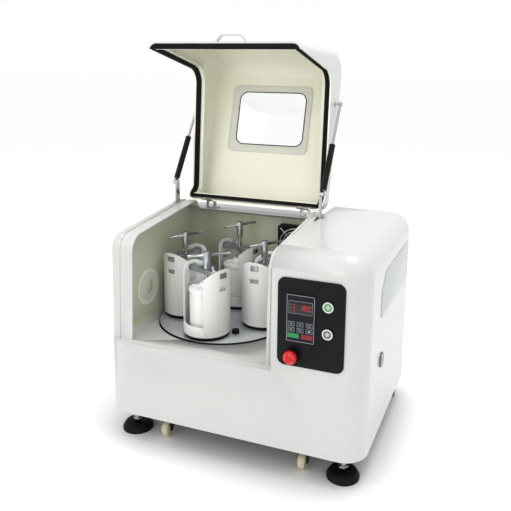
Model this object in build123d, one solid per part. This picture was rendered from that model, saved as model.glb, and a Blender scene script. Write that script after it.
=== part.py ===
from build123d import *
import math
import os

# Planetary ball mill on a free-standing cabinet, lid open, struts extended.
# Millimetres. X to the right, Y to the back, Z up, floor at zero.
# Everything is drawn about the middle of the cabinet and moved at the end, so that
# the origin lies under the middle of the whole machine.

# Cabinet
width = 750.0
depth = 606.0
console_top = 610.0
shell_bottom = 78.0
corner_r = 64.0
hood_r = 58.0
wall = 4.0
overrun = 20.0
touch = 0.01
soft_gap = 0.3
run_gap = 0.05
seat_gap = 0.3

# Chamber mouth: the line on which the seal lies, seen from the side
lip_height = 290.0
tip_y = -280.0
shoulder_y = -268.0
shoulder_z = 584.0
lobe_y = 108.0
lobe_z = 622.0
rear_ledge_y = 142.0
rear_ledge_z = 590.0
shoulder_r = 50.0
lobe_r = 16.0
rim_width = 40.0
right_rim_width = 23.0
ledge_step = 2.0
ledge_width = 15.0
left_wall_width = 37.0
console_left = 130.0
lid_gap = 3.0
left_edge_r = 22.0
tail_height = 578.0

# Tub
tub_wall = 3.0
tub_rear_y = 186.0
tub_front_y = -292.0
tub_corner_r = 45.0
deck_hole_gap = 4.0

# Turntable and planets
spin_x = -136.0
spin_y = -20.0
deck_radius = 196.0
deck_thickness = 14.0
deck_top = 290.0
orbit = 129.5
first_angle = 273.0
planet_count = 4
shaft_r = 17.5
main_pulley_r = 95.0
main_pulley_h = 26.0
sun_r = 50.0
planet_pulley_r = 25.0
belt_thickness = 5.0
belt_width = 8.0
belt_gap = 0.4
belt_level_step = 12.0
knob_r = 11.0
knob_height = 12.0
knob_x = -51.0
knob_y = -121.0
slot_length = 16.0
slot_width = 5.0

# Jar holder, jar and clamp
holder_r = 67.5
holder_wall = 5.0
holder_height = 205.0
holder_ring_height = 30.0
holder_floor = 8.0
flange_height = 10.0
flange_inset = 3.0
cheek_half_angle = 52.0
planet_shaft_r = 15.0
jar_r = 50.0
jar_wall = 8.0
jar_height = 112.0
jar_lid_r = 52.0
jar_lid_height = 24.0
crossbar_width = 24.0
crossbar_height = 13.0
crossbar_over_lid = 26.0
screw_r = 6.0
hub_r = 10.0
hub_height = 50.0
rod_r = 4.0
rod_length = 124.0

# For each planet: its name, how far its cheeks are turned, its lever's turn and how far the lever is slid
planet_tags = ("front", "right", "rear", "left")
holder_turn_shares = (-0.064, -0.02, -0.058, -0.042)
lever_turn_shares = (0.11, 0.16, 0.17, 0.175)
lever_slide_shares = (0.45, 0.46, 0.5, 0.5)
screw_rise_shares = (0.0, 0.22, 0.58, 0.3)

# Lid
lid_tip_y = -300.0
lid_top_front_y = -363.0
lid_top_front_z = 728.0
lid_top_rear_z = 678.0
lid_front_r = 80.0
lid_rear_r = 34.0
lid_rear_y = 152.0
lid_wall = 5.0
lid_edge_r = 26.0
flange_width = 26.0
flange_thickness = 4.0
seal_width = 14.0
seal_height = 9.0
open_angle = 100.0
hinge_y = 147.0
hinge_z = 620.0
window_x0 = -250.0
window_x1 = 32.0
window_y0 = -245.0
window_y1 = -19.0
sight_x0 = -222.0
sight_x1 = 13.0
sight_y0 = -222.0
sight_y1 = -45.0
sight_r = 27.0
window_plate = 3.0
handle_x = -104.0
handle_span = 107.0
handle_slant = 21.0
handle_rise = 24.0
handle_r = 5.0
handle_fall = 60.0
handle_width = 12.0
hinge_left_x = -264.0
hinge_right_x = 65.0
barrel_radius = 6.0
pin_radius = 3.0
knuckle = 16.0
leaf_thickness = 3.0
leaf_length = 32.0
screw_head_r = 3.0
screw_head_h = 1.5
stand_off = 1.0
hinge_gap = 7.0

# Gas struts: places of the two pivots with the lid closed
stud_y = -184.0
stud_z = 648.0
strut_foot_y = 66.0
strut_foot_z = 684.0
strut_inset = 12.0
cylinder_r = 9.0
cylinder_length = 150.0
strut_rod_r = 4.0
stud_r = 4.0
eye_r = 8.0
eye_width = 8.0
right_strut_x = 144.0
tab_thickness = 4.0
tab_width = 26.0

# Control panel
panel_x0 = 147.0
panel_x1 = 320.0
panel_z0 = 316.0
panel_z1 = 545.0
panel_r = 20.0
panel_thickness = 3.0
keypad_x0 = 170.0
keypad_x1 = 246.0
keypad_z0 = 381.0
keypad_z1 = 506.0
keypad_thickness = 2.4
button_x = 278.0
button_z = 484.0
button_drop = 69.0
bezel_r = 14.0
button_r = 9.5
button_travel = 3.0
bezel_height = 5.0
estop_x = 186.0
estop_z = 343.0
estop_r = 18.0
estop_stem_r = 7.0
estop_travel = 4.0
estop_height = 22.0

# Side
lock_y = -124.0
lock_z = 288.0
lock_r = 20.0
lock_height = 5.0
barrel_r = 8.0
access_y0 = -150.0
access_y1 = 235.0
access_z0 = 411.0
access_z1 = 530.0
access_r = 24.0
access_cut = 46.0
access_thickness = 1.5

# Chamber fan and vent
fan_x0 = -31.0
fan_size = 120.0
fan_top = 553.0
fan_depth = 25.0
fan_r = 54.0
fan_hub_r = 20.0
guard_wire = 1.6
vent_y = -128.0
vent_z = 395.0
vent_r = 56.0
vent_thickness = 2.0
vent_slot = 5.0

# Underside
foot_x = 312.0
foot_y = 240.0
foot_r = 43.5
foot_height = 20.0
foot_stud_r = 8.0
castor_x = 205.0
castor_y = 250.0
wheel_r = 25.0
wheel_width = 20.0
wheel_lift = 3.0
fork_wall = 3.0
axle_r = 4.0
swivel_trail = 14.0
frame_tube = 30.0
frame_inset = 14.0
tray_thickness = 4.0
air_way_margin = 16.0
air_way_y = -90.0

# Motor
motor_x = 250.0
motor_y = 78.0
motor_r = 62.0
motor_length = 150.0
motor_shaft_r = 9.5
motor_pulley_r = 38.0
drive_level = 182.0
drive_belt_width = 12.0
drive_belt_depth = 9.0

# Bearing
bearing_r = 44.0
bearing_flange_r = 70.0
bearing_flange = 9.0
bridge_z = 206.0
bridge_thickness = 6.0
bridge_half_x = 110.0
bridge_half_y = 150.0
motor_plate_half = 110.0
box_x0 = 150.0
box_x1 = 290.0
box_y0 = -275.0
box_y1 = -135.0
box_height = 220.0
foot_taper = 8.0
nut_r = 14.0
nut_height = 10.0
stud_rise = 30.0


# Helpers
def outline(corners):
    """Closed face through (u, v, radius) corners, each rounded by its radius."""
    count = len(corners)
    starts = []
    ends = []
    mids = []
    for index in range(count):
        u, v, r = corners[index]
        au, av = corners[index - 1][:2]
        bu, bv = corners[(index + 1) % count][:2]
        back = Vector(au - u, av - v).normalized()
        ahead = Vector(bu - u, bv - v).normalized()
        here = Vector(u, v)
        if r == 0:
            starts.append(here)
            ends.append(here)
            mids.append(None)
            continue
        half = math.acos(max(-1, min(1, back.dot(ahead)))) / 2
        reach = r / math.tan(half)
        inward = (back + ahead).normalized()
        starts.append(here + back * reach)
        ends.append(here + ahead * reach)
        mids.append(here + inward * (r / math.sin(half) - r))
    edges = []
    for index in range(count):
        following = (index + 1) % count
        if mids[index] is not None:
            edges.append(ThreePointArc(starts[index], mids[index], ends[index]))
        edges.append(Line(ends[index], starts[following]))
    return make_face(edges)


def prism_x(corners, x0, x1):
    plane = Plane(origin=(x0, 0, 0), x_dir=(0, 1, 0), z_dir=(1, 0, 0))
    return extrude(plane * outline(corners), amount=x1 - x0)


def prism_y(corners, y0, y1):
    plane = Plane(origin=(0, y1, 0), x_dir=(1, 0, 0), z_dir=(0, -1, 0))
    return extrude(plane * outline(corners), amount=y1 - y0)


def prism_z(corners, z0, z1):
    plane = Plane(origin=(0, 0, z0), x_dir=(1, 0, 0), z_dir=(0, 0, 1))
    return extrude(plane * outline(corners), amount=z1 - z0)


def rounded(u0, u1, v0, v1, r):
    return [(u0, v0, r), (u1, v0, r), (u1, v1, r), (u0, v1, r)]


def block(x0, x1, y0, y1, z0, z1):
    return Pos(x0, y0, z0) * Box(x1 - x0, y1 - y0, z1 - z0, align=(Align.MIN, Align.MIN, Align.MIN))


def cyl(at, axis, radius, length):
    plane = Plane(origin=at, z_dir=axis)
    return plane * Cylinder(radius, length, align=(Align.CENTER, Align.CENTER, Align.MIN))


def tube(at, axis, radius, bore, length):
    return cyl(at, axis, radius, length) - cyl(at, axis, bore, length)


def turned(corners):
    """Solid of revolution about Z from (radius, height, fillet) corners."""
    plane = Plane(origin=(0, 0, 0), x_dir=(1, 0, 0), z_dir=(0, -1, 0))
    return revolve(plane * outline(corners), axis=Axis.Z, revolution_arc=360)


def shifted(points, distance):
    """Open line moved to its left by a distance, corners mitred."""
    moved = []
    last = len(points) - 1
    for index in range(last + 1):
        here = Vector(*points[index])
        sides = []
        if index > 0:
            along = (here - Vector(*points[index - 1])).normalized()
            sides.append(Vector(-along.Y, along.X))
        if index < last:
            along = (Vector(*points[index + 1]) - here).normalized()
            sides.append(Vector(-along.Y, along.X))
        if len(sides) == 1:
            step = sides[0] * distance
        else:
            both = (sides[0] + sides[1]).normalized()
            step = both * (distance / both.dot(sides[0]))
        moved.append((here.X + step.X, here.Y + step.Y))
    return moved


parts = {}

# Derived lines
half_w = width / 2
half_d = depth / 2
rim_left = -half_w + left_wall_width
rim_inner_left = rim_left + rim_width
rim_inner_right = console_left - right_rim_width
rim_front_y = -half_d + rim_width
rear_edge_y = rear_ledge_y - seal_width - wall
step_y = rear_ledge_y + left_wall_width
mouth_line = [(tip_y, lip_height), (shoulder_y, shoulder_z), (lobe_y, lobe_z),
    (rear_ledge_y, rear_ledge_z)]


def mouth_profile(inset, bottom, front, back):
    """Side view of the chamber block, drawn in by an inset."""
    line = shifted(mouth_line, -inset)
    round_in = max(shoulder_r - inset, wall)
    lobe_in = max(lobe_r - inset, wall)
    return [
        (front, bottom, 0),
        (front, lip_height - inset, 0),
        (line[0][0], lip_height - inset, 0),
        (line[1][0], line[1][1], round_in),
        (line[2][0], line[2][1], lobe_in),
        (line[3][0], rear_ledge_z - inset, 0),
        (step_y - inset, rear_ledge_z - inset, 0),
        (step_y - inset, tail_height - inset, 0),
        (back, tail_height - inset, corner_r / 2),
        (back, bottom, 0),
    ]


def plan(inset):
    return rounded(-half_w + inset, half_w - inset, -half_d + inset, half_d - inset, corner_r - inset)


def hood(inset, bottom):
    """Console block with its rounded top."""
    left = console_left + inset
    solid = prism_z(plan(inset), bottom, console_top - inset)
    solid = solid & block(left, half_w, -half_d, half_d, bottom, console_top)
    top = solid.faces().sort_by(Axis.Z)[-1]
    outer = [edge for edge in top.edges() if edge.center().X > left + corner_r / 4]
    return fillet(outer, hood_r - inset)


def side_top(solid, inset):
    """Top edges of the left wall's outer face, from the shoulder to the lobe."""
    side = -half_w + inset
    return [
        edge
        for edge in solid.edges()
        if abs(edge.bounding_box().min.X - side) < touch
        and abs(edge.bounding_box().max.X - side) < touch
        and edge.bounding_box().min.Z > shoulder_z - shoulder_r
        and edge.bounding_box().max.Y < step_y - wall - touch
    ]


# Casing
outer_block = prism_x(mouth_profile(0, shell_bottom, -half_d, half_d), -half_w, console_left)
outer_block = outer_block & prism_z(plan(0), shell_bottom, console_top + corner_r)
outer_block = fillet(side_top(outer_block, 0), left_edge_r)
casing = outer_block + hood(0, shell_bottom)
low = shell_bottom - overrun
inner_block = prism_x(mouth_profile(wall, low, -half_d + wall, half_d - wall), -half_w + wall,
    console_left + wall)
inner_block = inner_block & prism_z(plan(wall), low, console_top + corner_r)
inner_block = fillet(side_top(inner_block, wall), left_edge_r - wall)
casing = casing - inner_block - hood(wall, low)
far = half_d + overrun
# Rounded trough that the rear edge of the lid turns in
swing_r = hinge_z - rear_ledge_z + 2 * soft_gap
trough = cyl((rim_left - wall, hinge_y, hinge_z), (1, 0, 0), swing_r + wall,
    console_left - rim_left + 2 * wall)
casing = casing + (trough & outer_block)
mouth_cut = [
    (rim_front_y, low, 0),
    (rim_front_y, lip_height, 0),
    (-far, lip_height, 0),
    (-far, console_top + corner_r, 0),
    (step_y, console_top + corner_r, 0),
    (step_y, rear_ledge_z, 0),
    (rear_edge_y, rear_ledge_z, 0),
    (rear_edge_y, low, 0),
]
casing = casing - prism_x(mouth_cut, rim_inner_left, rim_inner_right)

# Recessed seal ledge beside the outer walls, all round the mouth
ledge_line = shifted(mouth_line, -ledge_step)
ledge = [
    (ledge_line[0][0], lip_height, 0),
    (ledge_line[1][0], ledge_line[1][1], shoulder_r - ledge_step),
    (ledge_line[2][0], ledge_line[2][1], lobe_r - ledge_step),
    (ledge_line[3][0], rear_ledge_z, 0),
    (step_y, rear_ledge_z, 0),
    (step_y, console_top + corner_r, 0),
    (-far, console_top + corner_r, 0),
    (-far, lip_height, 0),
]
casing = casing - prism_x(ledge, rim_left, rim_left + ledge_width)
casing = casing - prism_x(ledge, console_left - ledge_width, console_left)
casing = casing - cyl((rim_left, hinge_y, hinge_z), (1, 0, 0), swing_r, console_left - rim_left)

# Openings in the casing
front = -half_d
for hole_x, hole_z, hole_r in (
    (button_x, button_z, bezel_r - stand_off),
    (button_x, button_z - button_drop, bezel_r - stand_off),
    (estop_x, estop_z, estop_stem_r + wall),
):
    casing = casing - cyl((hole_x, front + overrun, hole_z), (0, -1, 0), hole_r, 2 * overrun)
casing = casing - cyl((half_w - overrun, lock_y, lock_z), (1, 0, 0), barrel_r + wall, 2 * overrun)
inlet_x = width / 4
inlet_z = shell_bottom + corner_r
inlet_w = fan_size / 4
inlet_h = inlet_w * 0.8
casing = casing - block(
    inlet_x - inlet_w, inlet_x + inlet_w, half_d - overrun, half_d + overrun, inlet_z - inlet_h, inlet_z + inlet_h
)
access = prism_x(
    [
        (access_y0, access_z0, access_r / 2),
        (access_y1, access_z0, access_r),
        (access_y1, access_z1, access_r),
        (access_y0 + access_cut, access_z1, access_r),
        (access_y0, access_z1 - access_cut, access_r / 2),
    ],
    half_w,
    half_w + access_thickness,
)
parts["casing"] = casing

# Tub: floor flush with the lip, round well under the turntable, openings for fan and vent
tub_x0 = rim_left
tub_x1 = rim_inner_right + ledge_width
floor_top = lip_height - wall - seat_gap
well_r = deck_radius + deck_hole_gap
under_gap = 2 * seat_gap
well_floor = floor_top - 2 * planet_pulley_r - ledge_width
tub_inner = block(tub_x0, tub_x1, tub_front_y - half_d, tub_rear_y, floor_top, console_top + corner_r)
rear_edges = [
    edge
    for edge in tub_inner.edges().filter_by(Axis.Z)
    if edge.center().Y > tub_rear_y - touch
]
rear_edges = [min(rear_edges, key=lambda edge: edge.center().X)]
tub_inner = fillet(rear_edges, tub_corner_r)
floor_face = tub_inner.faces().sort_by(Axis.Z)[0]
tub_inner = fillet([edge for edge in floor_face.edges() if edge.center().Y > tub_front_y - half_d / 2], tub_corner_r / 2)
tub_outer = block(
    tub_x0 - tub_wall, tub_x1 + tub_wall, tub_front_y, tub_rear_y + tub_wall, floor_top - tub_wall, console_top
)
rear_edges = [
    edge
    for edge in tub_outer.edges().filter_by(Axis.Z)
    if edge.center().Y > tub_rear_y
]
rear_edges = [min(rear_edges, key=lambda edge: edge.center().X)]
tub_outer = fillet(rear_edges, tub_corner_r + tub_wall)
under = mouth_profile(wall + under_gap, low, -half_d + wall, half_d)
tub_outer = tub_outer & prism_z(plan(wall + under_gap), low, console_top)
tub_outer = tub_outer & prism_x(under, -half_w + wall + seat_gap, console_left)
trough_x0 = tub_x0 - tub_wall - overrun
trough_x1 = tub_x1 + tub_wall + overrun
tub_outer = tub_outer - cyl((trough_x0, hinge_y, hinge_z), (1, 0, 0), swing_r + wall + under_gap,
    trough_x1 - trough_x0)
tub = tub_outer - tub_inner
tub = tub + cyl((spin_x, spin_y, well_floor - tub_wall), (0, 0, 1), well_r + tub_wall,
    floor_top - well_floor + tub_wall)
tub = tub - cyl((spin_x, spin_y, well_floor), (0, 0, 1), well_r, floor_top)
bearing_hole = bearing_r + seat_gap
tub = tub - cyl((spin_x, spin_y, well_floor - overrun), (0, 0, 1), bearing_hole, 2 * overrun)
fan_x = fan_x0 + fan_size / 2
fan_z = fan_top - fan_size / 2
tub = tub - cyl((fan_x, tub_rear_y - overrun, fan_z), (0, 1, 0), fan_r, 2 * overrun)
tub = tub - cyl((tub_x0 - overrun, vent_y, vent_z), (1, 0, 0), vent_r - 2 * vent_slot, 2 * overrun)
parts["chamber_tub"] = tub

# Vent grille: thin disc with rings of slots
vent = cyl((tub_x0, vent_y, vent_z), (1, 0, 0), vent_r, vent_thickness)
ring_count = 3
for ring in range(1, ring_count + 1):
    ring_r = ring * 3 * vent_slot
    slots = 4 * ring + 4
    for index in range(slots):
        turn = math.radians(360 * index / slots)
        at = (tub_x0 - vent_thickness, vent_y + ring_r * math.cos(turn), vent_z + ring_r * math.sin(turn))
        vent = vent - cyl(at, (1, 0, 0), vent_slot / 2, 3 * vent_thickness)
parts["vent_grille"] = vent

# Fan: frame with wire guard in the chamber, rotor inside
fan_front = tub_rear_y - fan_depth
frame = prism_y(
    rounded(fan_x0, fan_x0 + fan_size, fan_top - fan_size, fan_top, fan_size / 16), fan_front, tub_rear_y
)
frame = frame - cyl((fan_x, fan_front - overrun, fan_z), (0, 1, 0), fan_r, fan_depth + 2 * overrun)
frame = frame + cyl((fan_x, tub_rear_y - 2 * wall, fan_z), (0, 1, 0), fan_hub_r - wall, wall)
arm = fan_size / 20
for flat in (True, False):
    across = fan_r + wall if flat else arm / 2
    upright = arm / 2 if flat else fan_r + wall
    frame = frame + block(
        fan_x - across, fan_x + across, tub_rear_y - wall, tub_rear_y, fan_z - upright, fan_z + upright
    )
guard = cyl((fan_x, fan_front - 2 * guard_wire, fan_z), (0, 1, 0), fan_hub_r * 0.6, 2 * guard_wire)
for ring_share in (1.1, 1.6, 2.1, 2.6):
    ring_r = fan_hub_r * ring_share
    guard = guard + tube(
        (fan_x, fan_front - 2 * guard_wire, fan_z), (0, 1, 0),
            ring_r + guard_wire, ring_r - guard_wire, 2 * guard_wire
    )
spoke = block(0, fan_size * 0.6, -guard_wire, guard_wire, -guard_wire, guard_wire)
for index in range(4):
    guard = guard + Pos(fan_x, fan_front - guard_wire, fan_z) * Rot(0, 45 + 90 * index, 0) * spoke
rotor_y = fan_front + wall
rotor = cyl((fan_x, rotor_y, fan_z), (0, 1, 0), fan_hub_r, fan_depth - 3 * wall - seat_gap)
blade_count = 7
blade = block(
    fan_hub_r - wall, fan_r - wall / 2, -guard_wire / 2, guard_wire / 2, -wall, wall
)
for index in range(blade_count):
    blade_place = Pos(fan_x, rotor_y + fan_depth / 4, fan_z) * Rot(0, 360 * index / blade_count, 0)
    rotor = rotor + blade_place * Rot(40, 0, 0) * blade
parts["fan_rotor"] = rotor
parts["fan_frame"] = Compound([frame, guard])


# Lid, drawn closed and then swung open about the hinge axis
lid_left = rim_left
lid_right = console_left - lid_gap


def opened(solid):
    """Swing a solid of the closed lid back to the open pose."""
    return Pos(0, hinge_y, hinge_z) * Rot(-open_angle, 0, 0) * Pos(0, -hinge_y, -hinge_z) * solid


def opened_point(y, z):
    turn = math.radians(-open_angle)
    dy = y - hinge_y
    dz = z - hinge_z
    return (
        hinge_y + dy * math.cos(turn) - dz * math.sin(turn),
        hinge_z + dy * math.sin(turn) + dz * math.cos(turn),
    )


def lid_profile(inset, mouth):
    """Side view of the closed lid; its mouth lies off the seal line by a distance."""
    top = shifted(
        [
            (lid_tip_y, lip_height),
            (lid_top_front_y, lid_top_front_z),
            (lid_rear_y, lid_top_rear_z),
            (lid_rear_y, rear_ledge_z),
        ],
        -inset,
    )
    line = shifted(mouth_line, mouth)
    low_front = lip_height + mouth
    low_rear = rear_ledge_z + mouth
    lean = (top[1][0] - top[0][0]) / (top[1][1] - top[0][1])
    return [
        (top[0][0] + lean * (low_front - top[0][1]), low_front, 0),
        (top[1][0], top[1][1], lid_front_r - inset),
        (top[2][0], top[2][1], lid_rear_r - inset),
        (lid_rear_y - inset, low_rear, 0),
        (line[3][0], low_rear, 0),
        (line[2][0], line[2][1], lobe_r + mouth),
        (line[1][0], line[1][1], shoulder_r + mouth),
        (line[0][0], low_front, 0),
    ]


def lid_block(inset, mouth):
    x0 = lid_left + inset
    x1 = lid_right - inset
    solid = prism_x(lid_profile(inset, mouth), x0, x1)
    chosen = []
    for edge in solid.edges():
        box = edge.bounding_box()
        on_side = box.max.X - box.min.X < touch
        middle = edge.center()
        share = (middle.Y - lid_tip_y) / (lid_rear_y - lid_tip_y)
        high = middle.Z > lid_top_rear_z - lid_rear_r or middle.Y < lid_tip_y
        at_rear = box.min.Y > lid_rear_y - inset - touch and middle.Z > hinge_z
        if on_side and share < 2 and (high or at_rear):
            chosen.append(edge)
    return fillet(chosen, lid_edge_r - inset)


def seal_band(d0, d1, x0, x1):
    """Strip along the seal line between two distances from it."""
    near = shifted(mouth_line, d0)
    beyond = shifted(mouth_line, d1)
    corners = [
        (near[0][0], lip_height + d0, 0),
        (near[1][0], near[1][1], shoulder_r + d0),
        (near[2][0], near[2][1], lobe_r + d0),
        (near[3][0], rear_ledge_z + d0, 0),
        (beyond[3][0], rear_ledge_z + d0, 0),
        (beyond[2][0], beyond[2][1], lobe_r + d1),
        (beyond[1][0], beyond[1][1], shoulder_r + d1),
        (beyond[0][0], lip_height + d0, 0),
    ]
    return prism_x(corners, x0, x1)


def seal_ring(d0, d1, breadth, margin):
    x0 = lid_left + margin
    x1 = lid_right - margin
    ring = seal_band(d0, d1, x0, x0 + breadth) + seal_band(d0, d1, x1 - breadth, x1)
    front_y = lid_tip_y + margin
    rear_y = rear_ledge_y + d0
    ring = ring + block(x0, x1, front_y, front_y + breadth, lip_height + d0, lip_height + d1)
    return ring + block(x0, x1, rear_y - breadth, rear_y, rear_ledge_z + d0, rear_ledge_z + d1)


lid_outer = lid_block(0, stand_off)
lid_inner = lid_block(lid_wall, stand_off)
lid = lid_outer - lid_inner
flange_low = seal_height + stand_off
flange_ring = seal_ring(flange_low, flange_low + flange_thickness, flange_width, lid_wall - touch)

# Seal all round the mouth, pressed against the lid's flange
seal = seal_ring(soft_gap, flange_low, seal_width,
    lid_wall + seat_gap) & lid_block(lid_wall + seat_gap, soft_gap)
lid = lid + ((flange_ring - seal) & lid_outer)
notch_top = hinge_z + barrel_radius + hinge_gap
notch_front = hinge_y - barrel_radius - stand_off
for hinge_x in (hinge_left_x, hinge_right_x):
    notch_half = knuckle + leaf_thickness
    lid = lid - block(
        hinge_x - notch_half, hinge_x + notch_half, notch_front, lid_rear_y + overrun, rear_ledge_z, notch_top
    )

# Frame of the lid's top panel: x to the right, y up the slope to the back, z out of the lid
top_run = Vector(0, lid_rear_y - lid_top_front_y, lid_top_rear_z - lid_top_front_z).normalized()
top_out = Vector(0, -top_run.Z, top_run.Y)
top_at = Vector(0, lid_top_front_y, lid_top_front_z) - top_run * (lid_top_front_y / top_run.Y)
top_plane = Plane(origin=top_at, x_dir=(1, 0, 0), z_dir=top_out)


def on_top(corners, level, thickness):
    return extrude(top_plane.offset(level) * outline(corners), amount=thickness)


lap = 2 * wall
sight = rounded(sight_x0, sight_x1, sight_y0, sight_y1, sight_r)
plate = rounded(window_x0, window_x1, window_y0, window_y1, panel_r)
pocket = rounded(sight_x0 - lap, sight_x1 + lap, sight_y0 - lap, sight_y1 + lap, sight_r)
fitted = lap - seat_gap
pane = rounded(sight_x0 - fitted, sight_x1 + fitted, sight_y0 - fitted, sight_y1 + fitted, sight_r)
lid = lid - on_top(pocket, -2 * lid_wall, 4 * lid_wall)
frame_level = -lid_wall - window_plate
window_frame = on_top(plate, frame_level, window_plate) - on_top(sight, frame_level - wall,
    lid_wall + wall)
screw_inset = panel_r / 2
for screw_x in (window_x0 + screw_inset, window_x1 - screw_inset):
    for screw_y in (window_y0 + screw_inset, window_y1 - screw_inset):
        head = Pos(screw_x, screw_y, 0) * Cylinder(screw_head_r, screw_head_h,
            align=(Align.CENTER, Align.CENTER, Align.MAX))
        window_frame = window_frame + top_plane.offset(frame_level) * head
window_pane = on_top(pane, -lid_wall, lid_wall - seat_gap)

# Handle: strap bent out of the front wall
front_run = Vector(0, lid_top_front_y - lid_tip_y, lid_top_front_z - lip_height).normalized()
handle_at = Vector(handle_x, lid_tip_y, lip_height) + front_run * handle_fall
front_plane = Plane(origin=handle_at, x_dir=(1, 0, 0), z_dir=front_run)
half = handle_span / 2
strap = 2 * handle_r / 3
bend = 2 * strap
handle_outer = [
    (-half, 0, 0),
    (-half + handle_slant, handle_rise, bend),
    (half - handle_slant, handle_rise, bend),
    (half, 0, 0),
]
handle_inner = [
    (-half + 2 * strap, 0, 0),
    (-half + handle_slant + strap, handle_rise - strap, bend / 2),
    (half - handle_slant - strap, handle_rise - strap, bend / 2),
    (half - 2 * strap, 0, 0),
]
away = 1 if front_plane.y_dir.Y < 0 else -1
handle_outer = [(u, v * away, r) for u, v, r in handle_outer]
handle_inner = [(u, v * away, r) for u, v, r in handle_inner]
bow_plane = front_plane.offset(-handle_width / 2)
handle = extrude(bow_plane * outline(handle_outer), amount=handle_width)
handle = handle - extrude(bow_plane.offset(-overrun) * outline(handle_inner),
    amount=handle_width + 2 * overrun)

# Hinges: knuckle and leaf on the lid, two knuckles, pin and leaf on the casing
lid_leaves = Part()
fixed_leaves = Part()
leaf_z0 = hinge_z + barrel_radius
for hinge_x in (hinge_left_x, hinge_right_x):
    mid_x0 = hinge_x - knuckle / 2
    moving = tube((mid_x0, hinge_y, hinge_z), (1, 0, 0), barrel_radius, pin_radius + run_gap, knuckle)
    moving = moving + block(
        mid_x0, mid_x0 + knuckle, hinge_y + pin_radius + stand_off, lid_rear_y + leaf_thickness, hinge_z, leaf_z0
    )
    moving = moving - cyl((mid_x0 - overrun, hinge_y, hinge_z), (1, 0, 0), pin_radius + run_gap,
        knuckle + 2 * overrun)
    moving = moving + block(
        mid_x0, mid_x0 + knuckle, lid_rear_y, lid_rear_y + leaf_thickness, leaf_z0, leaf_z0 + leaf_length
    )
    for share in (0.4, 0.8):
        at = (hinge_x, lid_rear_y + leaf_thickness, leaf_z0 + leaf_length * share)
        moving = moving + cyl(at, (0, 1, 0), screw_head_r, screw_head_h)
    lid_leaves = lid_leaves + moving
    fixed = block(
        hinge_x - knuckle - stand_off,
        hinge_x + knuckle + stand_off,
        hinge_y,
        step_y - stand_off,
        rear_ledge_z,
        rear_ledge_z + leaf_thickness,
    )
    fixed = fixed + cyl(
        (hinge_x - knuckle - stand_off, hinge_y, hinge_z), (1, 0, 0),
            pin_radius, 2 * (knuckle + stand_off)
    )
    for side in (-1, 1):
        x_in = hinge_x + side * (knuckle / 2 + soft_gap)
        x_out = hinge_x + side * (knuckle + stand_off)
        x0 = min(x_in, x_out)
        x1 = max(x_in, x_out)
        fixed = fixed + cyl((x0, hinge_y, hinge_z), (1, 0, 0), barrel_radius, x1 - x0)
        fixed = fixed + block(
            x0, x1, hinge_y + soft_gap, hinge_y + barrel_radius, rear_ledge_z, hinge_z
        )
        at = (hinge_x + side * knuckle / 2, step_y - leaf_length / 3, rear_ledge_z + leaf_thickness)
        fixed = fixed + cyl(at, (0, 0, 1), screw_head_r, screw_head_h)
    fixed_leaves = fixed_leaves + fixed

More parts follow.
